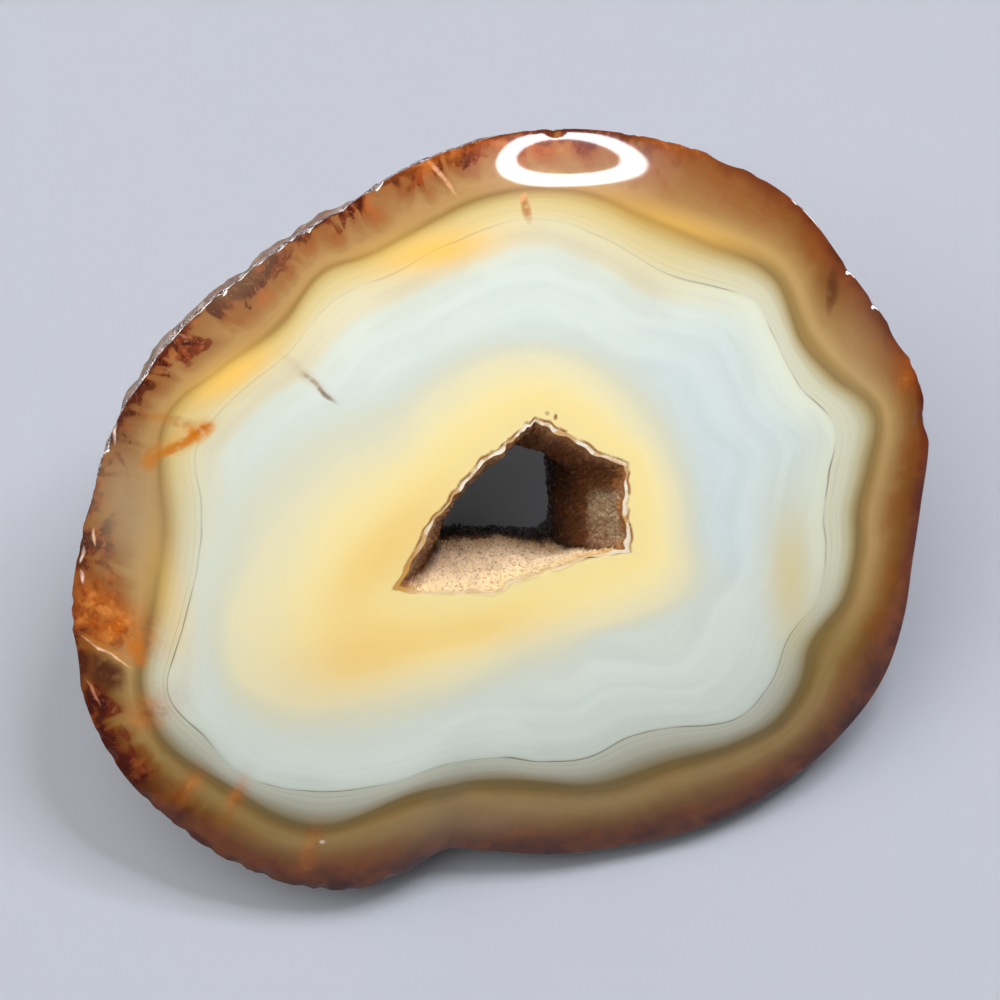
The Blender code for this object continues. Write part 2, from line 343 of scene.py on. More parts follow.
@dataclass(frozen=True)
class NoduleForm:
    """Form of the uncut stone: a domed face, and the rind from its edge to the back."""

    edge: Contour = Contour((
        (0, 46.4), (11, 47.7), (22, 47.3), (30, 46.1), (38, 45.6), (47, 46.0), (58, 45.2),
        (73, 43.6), (91, 42.0), (109, 40.0), (122, 39.0), (134, 39.6), (146, 41.4),
        (158, 43.6), (170, 45.4), (182, 47.4), (192, 49.6), (203, 51.2), (213, 51.6),
        (222, 50.9), (234, 49.6), (243, 47.8), (249, 45.7), (254, 42.6), (259, 39.3),
        (266, 39.0), (277, 39.9), (289, 41.2), (300, 43.1), (311, 44.8), (323, 46.4),
        (336, 47.4), (344, 46.9), (352, 46.2),
    ))
    dome_height: float = 6.0
    dome_power: float = 4.0
    back_depth: float = 34.0
    back_point: Pair = (-4.0, 1.0)
    width_powers: Pair = (0.95, 1.08)
    depth_powers: Pair = (1.15, 2.25)
    swell: Pair = (-0.75, 1.25)
    swell_direction: float = math.radians(147.0)
    swell_narrowness: float = 6.0
    swell_reach: float = math.radians(40.0)
    roll: float = math.radians(-12.6)
    downhill_steepness: float = 0.75
    middle_share: float = 0.2
    search_points: int = 2881

    def dome(self, share: Array) -> Array:
        """Height of the face: the dome's height times one less a power of the share."""
        return self.dome_height * (1.0 - share ** self.dome_power)

    def downhill(self, angle: Array) -> Array:
        """How far a direction on the face points down the slope, from 0 to 1."""
        return ease(0.5 - self.downhill_steepness * np.sin(angle + self.roll))

    def rind(self, angle: Array, turn: Array) -> Array:
        """Points of the rind: in each direction a superellipse from the edge to the back.

        The width is a power of the turn's cosine and the depth a power of its sine. Above, the
        rind tucks in behind the edge, but it swells out a little at the upper left.

        Args:
            angle: Directions on the face in radians.
            turn: From 0 at the polished edge to a quarter turn at the deepest point.

        Returns:
            Places in the face frame.
        """
        below = self.downhill(angle)
        width = np.cos(turn) ** between(*self.width_powers, below)
        depth = self.back_depth * np.sin(turn) ** between(*self.depth_powers, below)
        side = (0.5 + 0.5 * np.cos(angle - self.swell_direction)) ** self.swell_narrowness
        reach = np.clip(turn / self.swell_reach, 0.0, 1.0)
        swell = (self.swell[0] + self.swell[1] * side) * np.sin(math.pi * reach) * (1.0 - below)
        back = np.array(self.back_point)
        rim = self.edge.radius(angle)[..., None] * turned(angle)
        plan = back + (rim - back) * width[..., None] + swell[..., None] * turned(angle)
        return np.concatenate((plan, -depth[..., None]), axis=-1)

    def outward(self, points: Array) -> Array:
        """Rough outward direction at surface points, away from a centre inside the stone.

        Args:
            points: Places in the face frame.

        Returns:
            One unit vector for each.
        """
        centre = np.array((*self.back_point, -self.middle_share * self.back_depth))
        spread = points - centre
        return spread / np.linalg.norm(spread, axis=-1, keepdims=True)

    def behind(self, plan: Array) -> tuple[Array, Array]:
        """Find the angle and turn of the rind points that lie at given places in plan.

        The direction of a place from the back point picks the point of the edge in the same
        direction, and the share of the way to it is the width, whose power gives the turn.

        Args:
            plan: Places (u, v).

        Returns:
            The angle on the face and the turn of each.
        """
        back = np.array(self.back_point)
        fine = np.linspace(0.0, FULL_TURN, self.search_points)
        rim = self.edge.radius(fine)[..., None] * turned(fine) - back
        heading = np.unwrap(np.arctan2(rim[:, 1], rim[:, 0]))
        gap = plan - back
        wanted = np.arctan2(gap[..., 1], gap[..., 0])
        wanted = np.mod(wanted - heading[0], FULL_TURN) + heading[0]
        angle = np.interp(wanted, heading, fine)
        far = np.linalg.norm(self.edge.radius(angle)[..., None] * turned(angle) - back, axis=-1)
        width = np.linalg.norm(gap, axis=-1) / far
        power = between(*self.width_powers, self.downhill(angle))
        return angle, np.arccos(np.clip(width ** (1.0 / power), 0.0, 1.0))


@dataclass(frozen=True)
class CavityForm:
    """Form of the cavity that passes through the stone: mouth, throat and rear mouth."""

    mouth: Table = (
        (-14.5, -6.7), (-10.7, 0.1), (-7.6, 4.4), (-3.9, 8.3), (-1.3, 10.1), (0.9, 12.2),
        (4.5, 10.2), (11.1, 6.8), (11.4, 2.4), (11.7, -3.0), (6.0, -3.9), (0.9, -5.6),
        (-3.2, -7.3), (-9.0, -7.3),
    )
    throat: Table = (
        (-8.6, -6.4), (-7.4, -2.6), (-6.0, 0.6), (-3.8, 3.4), (-1.8, 5.0), (1.0, 6.6),
        (4.0, 6.4), (7.0, 3.6), (7.5, 0.4), (7.6, -6.6), (4.6, -6.9), (1.0, -6.4),
        (-2.2, -6.2), (-5.4, -6.2),
    )
    rear: Table = (
        (-6.4, -8.8), (-7.4, -5.2), (-7.0, -1.6), (-5.2, 1.8), (-2.4, 4.0), (1.4, 5.2),
        (5.6, 4.8), (9.2, 2.4), (10.8, -1.4), (10.8, -7.4), (8.6, -9.8), (4.2, -9.7),
        (0.2, -9.5), (-3.6, -9.3),
    )
    mouth_w: float = 6.0
    throat_w: float = -13.0
    rear_w: float = -31.0
    wave: float = 0.35
    wave_counts: Pair = (3.0, 2.0)
    wave_twists: Pair = (0.35, -0.22)
    wave_start: float = 1.0
    wave_growth: float = 4.0
    mitre_limit: float = 0.5
    search_points: int = 64
    ragged: tuple[Triple, ...] = (
        (9.0, 0.4, 0.11), (17.0, 1.9, 0.09), (31.0, 4.4, 0.06), (47.0, 2.6, 0.04),
    )

    def outline(self, corners: Table, inset: Array, place: Array) -> Array:
        """Points along an outline whose straight sides are moved inward.

        A corner moves by the sum of its two sides' normals over one plus their product.

        Args:
            corners: Corners (u, v), in order.
            inset: How far each place moves inward, or one number for all.
            place: Side's number plus the share of the way along it.

        Returns:
            Places (u, v).
        """
        corner = np.array(corners)
        ahead = np.roll(corner, -1, axis=0) - corner
        ahead = ahead / np.linalg.norm(ahead, axis=1, keepdims=True)
        inward = np.stack((ahead[:, 1], -ahead[:, 0]), axis=1)
        behind = np.roll(inward, 1, axis=0)
        share = 1.0 + np.sum(inward * behind, axis=1, keepdims=True)
        shift = (inward + behind) / np.maximum(share, self.mitre_limit)
        side = np.floor(place).astype(int) % len(corner)
        following = (side + 1) % len(corner)
        along = (place - np.floor(place))[..., None]
        moved = between(shift[side], shift[following], along) * np.asarray(inset)[..., None]
        return between(corner[side], corner[following], along) + moved

    def side_lengths(self) -> Array:
        """Length of each straight side of the mouth's outline."""
        corner = np.array(self.mouth)
        return np.linalg.norm(np.roll(corner, -1, axis=0) - corner, axis=1)

    def ripple(self, place: Array, waves: tuple[Triple, ...]) -> Array:
        """Sum of waves round the mouth's outline, each with its count, phase and size."""
        turn = place * (FULL_TURN / len(self.mouth))
        return sum(size * np.sin(count * turn + phase) for count, phase, size in waves)

    def mouth_line(self, place: Array, inset: Array) -> Array:
        """Ragged outline of the mouth: whole numbers of waves round it add to the inset.

        Args:
            place: Side's number plus the share of the way along it.
            inset: How far the sides move inward.

        Returns:
            Places (u, v).
        """
        return self.outline(self.mouth, inset + self.ripple(place, self.ragged), place)

    def wall(self, place: Array, w: Array, inset: Array) -> Array:
        """Points of the wall. It draws in fast behind the mouth and flares behind the throat.

        Args:
            place: Side's number plus the share of the way along it.
            w: Heights in the face frame, of the same shape.
            inset: How far the wall is moved inward.

        Returns:
            Places in the face frame.
        """
        mouth = self.mouth_line(place, inset)
        throat = self.outline(self.throat, inset, place)
        rear = self.outline(self.rear, inset, place)
        drawn = np.clip((self.mouth_w - w) / (self.mouth_w - self.throat_w), 0.0, 1.0)
        flared = np.clip((self.throat_w - w) / (self.throat_w - self.rear_w), 0.0, 1.0)
        ring = between(mouth, throat, np.sin(QUARTER_TURN * drawn)[..., None])
        ring = between(ring, rear, 1.0 - np.cos(QUARTER_TURN * flared)[..., None])
        spread = ring - ring.mean(axis=-2, keepdims=True)
        angle = np.arctan2(spread[..., 1], spread[..., 0])
        fade = ease((self.mouth_w - self.wave_start - w) / self.wave_growth)
        first, second = (count * angle + twist * w
                         for count, twist in zip(self.wave_counts, self.wave_twists))
        wave = self.wave * fade * np.sin(first) * np.cos(second)
        ring = ring + wave[..., None] * turned(angle)
        return np.concatenate((ring, w[..., None]), axis=-1)

    def place_towards(self, angle: Array) -> Array:
        """Find the place on the mouth's outline in each direction from the face centre.

        Args:
            angle: Directions in radians.

        Returns:
            A side's number plus the share of the way along it, for each.
        """
        fine = np.linspace(0.0, len(self.mouth), self.search_points * len(self.mouth) + 1)
        points = self.outline(self.mouth, 0.0, np.mod(fine, len(self.mouth)))
        heading = -np.unwrap(np.arctan2(points[:, 1], points[:, 0]))
        wanted = np.mod(-angle - heading[0], FULL_TURN) + heading[0]
        return np.mod(np.interp(wanted, heading, fine), len(self.mouth))


class Wire:
    """Socket of a material on its way to the next, with arithmetic that adds Math nodes."""

    def __init__(self, recipe: "Recipe", socket: bpy.types.NodeSocket) -> None:
        """Keep the socket and the recipe that it belongs to."""
        self.recipe = recipe
        self.socket = socket

    def maths(self, operation: str, *others: "Amount") -> "Wire":
        """Pass the value and the others through one Math node."""
        return self.recipe.maths(operation, self, *others)

    def __add__(self, other: "Amount") -> "Wire":
        """Add."""
        return self.maths("ADD", other)

    __radd__ = __add__

    def __sub__(self, other: "Amount") -> "Wire":
        """Subtract."""
        return self.maths("SUBTRACT", other)

    def __rsub__(self, other: "Amount") -> "Wire":
        """Subtract from a number."""
        return self.recipe.maths("SUBTRACT", other, self)

    def __mul__(self, other: "Amount") -> "Wire":
        """Multiply."""
        return self.maths("MULTIPLY", other)

    __rmul__ = __mul__

    def __truediv__(self, other: "Amount") -> "Wire":
        """Divide."""
        return self.maths("DIVIDE", other)

    def __abs__(self) -> "Wire":
        """Drop the sign."""
        return self.maths("ABSOLUTE")

    def fade(self, start: float, end: float, top: float = 1.0) -> "Wire":
        """Ease from 0 at the start to the top at the end, whichever of the two is larger.

        Args:
            start: Value where the result is 0.
            end: Value where it is at its top.
            top: The top.

        Returns:
            The eased value.
        """
        return self.recipe.node(
            "ShaderNodeMapRange", {"interpolation_type": "SMOOTHSTEP"},
            {0: self, 1: start, 2: end, 3: 0.0, 4: top})

    def line(self, centre: float, half_width: float) -> "Wire":
        """Soft line where the value is near the centre."""
        return abs(self - centre).fade(half_width, 0.0)


Amount = Union[Wire, float]


class Recipe:
    """Node tree of one material, which ends in its Principled shader."""

    def __init__(self, name: str, pose: Optional[Pose] = None) -> None:
        """Make the material.

        Args:
            name: Name of the material.
            pose: How the stone stands, where its finish follows the place in the face frame.
        """
        self.material = bpy.data.materials.new(name)
        self.material.use_nodes = True
        self.tree = self.material.node_tree
        self.shader = next(n for n in self.tree.nodes if n.type == "BSDF_PRINCIPLED")
        self.place = self.face_place(pose) if pose else None

    def node(self, kind: str, settings: Optional[dict[str, Any]] = None,
             inputs: Optional[dict[Any, Any]] = None, output: Union[int, str] = 0) -> Wire:
        """Add one node.

        Args:
            kind: Type of the node.
            settings: Its own settings, or the stops of a ramp, which are set first.
            inputs: Values or wires of its sockets, by number or name.
            output: Number or name of the socket that is given back.

        Returns:
            The chosen output.
        """
        node = self.tree.nodes.new(kind)
        for key, value in (settings or {}).items():
            if key == "stops":
                self.set_stops(node.color_ramp.elements, value)
            else:
                setattr(node, key, value)
        for key, value in (inputs or {}).items():
            self.plug(value, node.inputs[key])
        return Wire(self, node.outputs[output])

    def plug(self, value: Any, socket: bpy.types.NodeSocket) -> None:
        """Link a wire to a socket, or set the socket's own value.

        Args:
            value: The wire or the value.
            socket: The socket.
        """
        if isinstance(value, Wire):
            self.tree.links.new(value.socket, socket)
        else:
            socket.default_value = value

    @staticmethod
    def set_stops(elements: Any, stops: tuple[tuple[float, Colour], ...]) -> None:
        """Set the stops of a ramp.

        Args:
            elements: The ramp's own two stops.
            stops: Places and colours, in order.
        """
        elements[0].position, elements[0].color = stops[0]
        elements[1].position, elements[1].color = stops[-1]
        for place, colour in stops[1:-1]:
            elements.new(place).color = colour

    def maths(self, operation: str, *values: Amount) -> Wire:
        """Add one Math node."""
        return self.node("ShaderNodeMath", {"operation": operation}, dict(enumerate(values)))

    def field(self, name: str) -> Wire:
        """Read a field of numbers from the piece's vertices."""
        return self.node("ShaderNodeAttribute", {"attribute_name": name}, output="Fac")

    def vector_field(self, name: str) -> Wire:
        """Read a field of vectors from the piece's vertices."""
        return self.node("ShaderNodeAttribute", {"attribute_name": name}, output="Vector")

    def face_place(self, pose: Pose) -> Wire:
        """Object coordinates turned into millimetres of the face frame.

        Args:
            pose: How the stone stands.

        Returns:
            The place as a vector.
        """
        inverse = pose.rotation().T
        place = self.node("ShaderNodeTexCoord", output="Object")
        return self.node(
            "ShaderNodeMapping", {"vector_type": "POINT"},
            {"Vector": place, "Location": tuple(-inverse @ pose.centre()),
             "Rotation": tuple(Matrix(inverse.tolist()).to_euler()),
             "Scale": (1.0 / MM, 1.0 / MM, 1.0 / MM)})

    def part(self, axis: str) -> Wire:
        """One of the three numbers of the place."""
        return self.node("ShaderNodeSeparateXYZ", None, {0: self.place}, output=axis)

    def stretch(self, vector: Wire, sizes: Triple) -> Wire:
        """Multiply a vector by three numbers."""
        return self.node("ShaderNodeVectorMath", {"operation": "MULTIPLY"}, {0: vector, 1: sizes})

    def noise(self, cloud: Cloud, vector: Optional[Wire] = None) -> Wire:
        """Cloudy noise from 0 to 1.

        Args:
            cloud: Its pattern.
            vector: What it runs over, if that isn't the place.

        Returns:
            The noise.
        """
        return self.node(
            "ShaderNodeTexNoise", None,
            {"Vector": vector or self.place, "Scale": cloud.scale, "Detail": cloud.detail,
             "Roughness": cloud.roughness, "Distortion": cloud.twist})

    def patches(self, cloud: Cloud, vector: Optional[Wire] = None) -> Wire:
        """Soft patches, from 0 to 1, where cloudy noise passes through its span."""
        return self.noise(cloud, vector).fade(*cloud.span)

    def swing(self, cloud: Cloud, size: Amount, vector: Optional[Wire] = None) -> Wire:
        """Cloudy noise about zero, half the size to either side."""
        return (self.noise(cloud, vector) - 0.5) * size

    def ramp(self, value: Wire, stops: tuple[tuple[float, Colour], ...]) -> Wire:
        """Colour that follows a value through stops."""
        return self.node("ShaderNodeValToRGB", {"stops": stops}, {0: value})

    def painted(self, value: Wire, shades: Shades, reach: float = 1.0) -> Wire:
        """Colour that follows a value through shades whose places go up to the reach."""
        stops = tuple((place / reach, pigment(*paint)) for place, paint in shades)
        return self.ramp(value / reach, stops)

    def blend(self, share: Amount, base: Any, other: Any) -> Wire:
        """Mix two colours."""
        return self.node(
            "ShaderNodeMix", {"data_type": "RGBA"}, {0: share, 6: base, 7: other}, output=2)

    def coated(self, colour: Any, coats: tuple[tuple[Wire, Coat], ...]) -> Wire:
        """Lay coats of paint over a colour, one after the other.

        Args:
            colour: Colour or wire to start from.
            coats: Each coat with the wire that says where it lies.

        Returns:
            The last colour.
        """
        for share, coat in coats:
            if coat.strength != 1.0:
                share = share * coat.strength
            colour = self.blend(share, colour, pigment(*coat.paint))
        return colour

    def shade(self, colour: Wire, factor: Wire) -> Wire:
        """Make a colour lighter or darker by a factor."""
        return self.node(
            "ShaderNodeVectorMath", {"operation": "SCALE"}, {0: colour, "Scale": factor})

    def mark(self, place: Wire, stain: Stain) -> Wire:
        """Soft little mark on the face, which fades out where a stain's exponent reaches one.

        Args:
            place: Place on the face, with w at 0.
            stain: Where the mark is, its size and its turn.

        Returns:
            The mark's strength.
        """
        own = self.node(
            "ShaderNodeMapping", {"vector_type": "TEXTURE"},
            {"Vector": place, "Location": (stain.u, stain.v, 0.0),
             "Rotation": (0.0, 0.0, math.radians(stain.turn)),
             "Scale": (stain.length, stain.width, 1.0)})
        reach = self.node("ShaderNodeVectorMath", {"operation": "DOT_PRODUCT"}, {0: own, 1: own},
                          output="Value")
        return reach.fade(1.0, 0.0, stain.strength)

    def finish(self, colour: Wire, roughness: Wire, normal: Wire) -> None:
        """Plug the colour, roughness and normal of a quartz surface into the shader.

        Args:
            colour: Base colour.
            roughness: Roughness.
            normal: Normal with its relief.
        """
        self.plug(colour, self.shader.inputs["Base Color"])
        self.plug(roughness, self.shader.inputs["Roughness"])
        self.plug(normal, self.shader.inputs["Normal"])
        self.shader.inputs["IOR"].default_value = QUARTZ_INDEX

    def relief(self, height: Wire, strength: float, distance: float) -> Wire:
        """Make a bump.

        Args:
            height: Height as a share of the distance.
            strength: How much of the bump is used.
            distance: The distance in metres.

        Returns:
            The normal.
        """
        return self.node(
            "ShaderNodeBump", None,
            {"Height": height, "Strength": strength, "Distance": distance})


def linked(name: str, data: bpy.types.ID) -> bpy.types.Object:
    """Make an object and link it to the scene.

    Args:
        name: Name of the object.
        data: Its mesh, light or camera.

    Returns:
        The object.
    """
    item = bpy.data.objects.new(name, data)
    bpy.context.scene.collection.objects.link(item)
    return item


def grid_numbers(points: Array) -> Array:
    """Number of each vertex of a grid, rows by columns."""
    return np.arange(points[..., 0].size).reshape(points.shape[:2])


def grid_object(name: str, points: Array, corners: tuple[Array, ...]) -> bpy.types.Object:
    """Make an object of a grid of places.

    Args:
        name: Name of the object.
        points: Rows by columns of places in metres.
        corners: Four grids that number the corners of each face.

    Returns:
        The object, linked to the scene.
    """
    mesh = bpy.data.meshes.new(name)
    quads = np.stack(corners, axis=2).reshape(-1, 4)
    mesh.from_pydata(points.reshape(-1, 3).tolist(), [], quads.tolist())
    return linked(name, mesh)


def closed_surface(name: str, points: Array, fields: dict[str, Array],
                   smooth: bool) -> bpy.types.Object:
    """Make an object of a grid that joins up with itself in both directions.

    Args:
        name: Name of the piece.
        points: Rows by columns of places in metres.
        fields: Numbers or vectors on the same grid, by name.
        smooth: Whether its faces are shaded smooth.

    Returns:
        The object, linked to the scene.
    """
    index = grid_numbers(points)
    below = np.roll(index, -1, axis=0)
    item = grid_object(
        name, points, (index, below, np.roll(below, -1, axis=1), np.roll(index, -1, axis=1)))
    mesh = item.data
    for key, values in fields.items():
        kind, part = ("FLOAT_VECTOR", "vector") if values.ndim == 3 else ("FLOAT", "value")
        attribute = mesh.attributes.new(key, kind, "POINT")
        attribute.data.foreach_set(part, values.astype(np.float32).ravel())
    mesh.polygons.foreach_set("use_smooth", np.full(len(mesh.polygons), smooth))
    mesh.update()
    return item


def grid_normals(points: Array) -> Array:
    """Unit normals of such a grid: the step along rows crossed with the step along columns.

    Args:
        points: Rows by columns of places.

    Returns:
        One unit vector for each.
    """
    down = np.roll(points, -1, axis=0) - np.roll(points, 1, axis=0)
    across = np.roll(points, -1, axis=1) - np.roll(points, 1, axis=1)
    normal = np.cross(down, across)
    return normal / np.maximum(np.linalg.norm(normal, axis=-1, keepdims=True), 1e-9)


class AgateFinish(Recipe):
    """Polished banded chalcedony, cloudy honey-brown outside and milk-white in the core."""

    polish: float = 0.05
    rind_gloss: float = 0.52
    ramp_reach: float = 3.2
    specular: float = 0.38
    rind_dulling: Pair = (-0.1, -0.55)
    facet_span: Pair = (-0.5, -0.1)
    brown_span: Pair = (-0.45, -0.1)
    pit_span: Pair = (0.1, 0.9)
    tongue_reach: Pair = (1.0, 0.15)
    haze_reach: Pair = (0.95, 0.2)
    scorch_reach: Pair = (0.9, 0.5)
    ember_reach: Pair = (0.7, 0.2)
    margin_reach: Pair = (0.16, 0.02)
    glow_edge: Pair = (-0.9, 0.6)
    lip_reach: Pair = (0.2, 0.8)
    lip_rise: Pair = (-4.5, -1.0)
    haze_coat: Coat = Coat((150, 78, 28), 0.4)
    scorch_coat: Coat = Coat((104, 34, 16), 0.82)
    depth_coat: Coat = Coat((58, 12, 8), 0.75)
    ember_coat: Coat = Coat((190, 96, 42), 0.45)
    vein_coat: Coat = Coat((232, 160, 116), 0.35)
    mist_coat: Coat = Coat((172, 146, 110))
    amber_coat: Coat = Coat((248, 196, 88))
    ochre_coat: Coat = Coat((222, 194, 96))
    rust_coat: Coat = Coat((196, 98, 24))
    bright_rust: Coat = Coat((232, 150, 70), 0.8)
    deep_rust: Coat = Coat((116, 44, 14), 0.8)
    umber_coat: Coat = Coat((84, 36, 16))
    lip_coat: Coat = Coat((160, 100, 38), 0.9)
    rind_rust: Coat = Coat((146, 74, 32), 0.6)
    rind_chalking: Coat = Coat((176, 158, 132), 0.5)
    pit_coat: Coat = Coat((44, 26, 18), 0.7)
    rind_brown: Coat = Coat((74, 26, 12), 0.85)
    # White of the painted glints on the rind just behind the upper-left edge.
    rind_glint_coat: Coat = Coat((255, 246, 240), 0.9)
    band_sway: Cloud = Cloud(0.16, 1.0)
    smear: Cloud = Cloud(0.35)
    rind_bumps: Cloud = Cloud(1.9, 4.0, 0.6)
    rind_grit: Cloud = Cloud(5.5)
    rind_facets: Cloud = Cloud(1.3, 3.0, 0.6)
    rind_patches: Cloud = Cloud(0.09, 3.0, 0.6, span=(0.52, 0.68))
    rind_grain: Cloud = Cloud(0.9, 5.0, 0.7)
    rind_chalk: Cloud = Cloud(0.16, 4.0, 0.6, span=(0.56, 0.7))
    rind_glint_lines: Cloud = Cloud(0.8, 3.0, 0.6, 1.2)
    tongues: Cloud = Cloud(1.0, 2.0, 0.5, 0.9, (0.36, 0.64))
    tongue_scale: Triple = (0.26, 0.26, 0.16)
    haze: Cloud = Cloud(0.22, 3.0, 0.55, 0.5, (0.4, 0.66))
    flames: Cloud = Cloud(0.24, 3.0, 0.52, 0.9)
    depths: Cloud = Cloud(0.4, 3.0, 0.52, 1.0)
    embers: Cloud = Cloud(0.42, 3.0, 0.55, 0.6, (0.52, 0.68))
    veins: Cloud = Cloud(0.5, 3.0, 0.5, 1.2)
    glow_sway: Cloud = Cloud(0.13)
    mottle: Cloud = Cloud(0.45, 4.0, 0.5, 0.8, (0.3, 0.62))
    rust_cast: Cloud = Cloud(0.5, 4.0, 0.6, 0.3)
    lip_gaps: Cloud = Cloud(0.5, 3.0, span=(0.36, 0.54))
    layer_drift: Cloud = Cloud(0.05)
    layers: Cloud = Cloud(1.0, 3.0, 0.6)
    broad_layers: Cloud = Cloud(1.0)
    broad_scale: Triple = (0.45, 1.0, 1.0)
    hairline_gaps: Cloud = Cloud(0.11, span=(0.36, 0.6))
    mark_sway: Cloud = Cloud(0.4, 3.0)
    mark_rise: Cloud = Cloud(0.45, 3.0)
    mark_gaps: Cloud = Cloud(0.8, 3.0, span=(0.36, 0.56))
    clear_bands: Shades = (
        (0.00, (84, 27, 12)), (0.08, (112, 48, 15)), (0.20, (128, 74, 26)),
        (0.35, (141, 93, 38)), (0.50, (158, 116, 62)),
        (0.68, (186, 150, 92)), (0.78, (190, 155, 98)),
        (0.90, (160, 130, 74)), (1.00, (150, 124, 74)),
        (1.16, (178, 160, 114)), (1.36, (202, 194, 156)),
        (1.60, (218, 216, 188)), (1.95, (220, 220, 191)),
        (2.06, (227, 232, 210)), (2.50, (217, 228, 221)),
        (3.20, (213, 225, 222)),
    )
    honey_bands: Shades = (
        (0.00, (124, 66, 30)), (0.12, (142, 86, 42)),
        (0.30, (152, 102, 56)), (0.50, (160, 114, 66)),
        (0.74, (180, 140, 86)),
        (0.88, (182, 142, 86)), (0.98, (158, 122, 66)),
        (1.14, (190, 162, 100)), (1.40, (216, 194, 134)),
        (1.80, (222, 206, 152)), (2.05, (224, 214, 174)),
        (2.24, (224, 217, 184)), (2.34, (223, 228, 210)),
        (2.60, (221, 230, 220)), (3.20, (219, 229, 219)),
    )
    # Bands of the low side: partly their own colour, partly painted shade where the face tilts
    # away from the light.
    shaded_low_side_bands: Shades = (
        (0.00, (54, 18, 6)), (0.12, (78, 30, 6)), (0.30, (108, 58, 18)),
        (0.50, (134, 96, 46)), (0.68, (160, 130, 76)),
        (0.78, (160, 130, 78)), (0.90, (132, 106, 58)),
        (1.00, (126, 106, 66)), (1.16, (150, 140, 112)),
        (1.35, (168, 163, 142)), (1.50, (182, 181, 162)),
        (1.80, (195, 197, 178)), (1.96, (194, 198, 180)),
        (2.06, (210, 218, 206)), (2.30, (219, 228, 219)),
        (3.20, (218, 226, 214)),
    )
    hairlines: tuple[Triple, ...] = (
        (0.97, 0.07, 0.30), (1.62, 0.04, 0.08), (1.84, 0.035, 0.16), (2.00, 0.022, 0.8),
    )
    hairline_paint: Paint = (112, 104, 78)
    rind_shades: Shades = (
        (0.28, (54, 30, 20)), (0.43, (98, 60, 36)), (0.57, (136, 92, 56)), (0.70, (182, 142, 98)),
    )
    glow_reach: float = 2.0
    # Colours of the glow round the cavity: partly the stone's own yellow, partly painted light
    # that passes through the stone.
    painted_glow_stops: Shades = (
        (0.0, (216, 222, 206)), (0.50, (222, 222, 196)),
        (0.84, (230, 226, 192)), (1.12, (241, 231, 186)),
        (1.40, (252, 235, 172)), (1.70, (254, 231, 156)),
        (2.0, (250, 230, 162)),
    )
    marks: tuple[tuple[Stain, Paint], ...] = (
        (Stain(-23.4, 16.6, 4.4, 0.8, -40.0, 0.25), (176, 138, 80)),
        (Stain(-22.4, 15.7, 3.2, 0.34, -42.0, 0.6), (140, 96, 46)),
        (Stain(-21.5, 14.8, 1.5, 0.26, -44.0, 0.5), (104, 66, 34)),
        (Stain(0.0, 34.2, 1.9, 0.7, 100.0, 0.75), (178, 96, 30)),
        (Stain(-0.3, 35.4, 0.8, 0.4, 60.0, 0.8), (232, 170, 110)),
        (Stain(2.2, 12.6, 0.36, 0.36, 0.0, 1.0), (140, 88, 26)),
        (Stain(3.2, 12.1, 0.32, 0.44, 0.0, 1.0), (140, 88, 26)),
        (Stain(-36.2, 10.0, 4.6, 1.8, 28.0, 0.55), (214, 150, 52)),
        (Stain(-34.8, 10.5, 2.2, 1.1, 30.0, 0.95), (214, 126, 18)),
        (Stain(-34.6, 10.8, 1.5, 0.5, 30.0, 0.6), (176, 84, 10)),
        (Stain(-37.1, 9.0, 3.2, 0.7, 30.0, 0.9), (196, 112, 18)),
        (Stain(-39.8, 7.6, 2.0, 1.3, 50.0, 0.75), (190, 114, 26)),
        (Stain(-37.6, 11.7, 3.4, 0.8, -10.0, 0.55), (184, 112, 34)),
        (Stain(-8.8, 37.4, 3.0, 0.34, -52.0, 0.8), (232, 176, 130)),
        (Stain(-10.8, 39.2, 1.8, 0.9, -30.0, 0.7), (214, 130, 44)),
        (Stain(-13.4, 38.4, 1.6, 0.8, 20.0, 0.6), (206, 124, 40)),
        (Stain(-45.2, -16.0, 3.6, 2.1, -30.0, 0.95), (84, 40, 20)),
        (Stain(-41.6, -13.2, 1.3, 3.0, 12.0, 0.8), (206, 118, 36)),
        (Stain(-44.8, -13.6, 3.8, 0.55, -31.0, 0.7), (214, 132, 50)),
        (Stain(-44.8, -13.9, 3.6, 0.22, -31.0, 0.95), (250, 212, 168)),
        # This and the next five marks: white crescents along the left edge, painted glints off
        # small flakes of the polished edge.
        (Stain(-43.2, 14.9, 1.1, 0.3, 62.0, 0.9), (255, 232, 220)),
        (Stain(-43.6, 9.9, 1.3, 0.22, 84.0, 0.9), (255, 226, 210)),
        (Stain(-45.9, -1.2, 1.1, 0.2, 96.0, 0.8), (246, 206, 160)),
        (Stain(-47.2, -3.2, 1.1, 0.25, 78.0, 0.9), (255, 226, 206)),
        (Stain(-47.3, -5.6, 0.8, 0.3, 100.0, 0.9), (255, 226, 206)),
        (Stain(-46.2, -18.8, 2.0, 0.22, 118.0, 0.7), (226, 150, 112)),
        (Stain(-21.4, -36.1, 0.4, 0.35, 0.0, 1.0), (240, 230, 214)),
        (Stain(34.6, 25.0, 3.4, 0.9, 78.0, 0.7), (92, 50, 24)),
    )

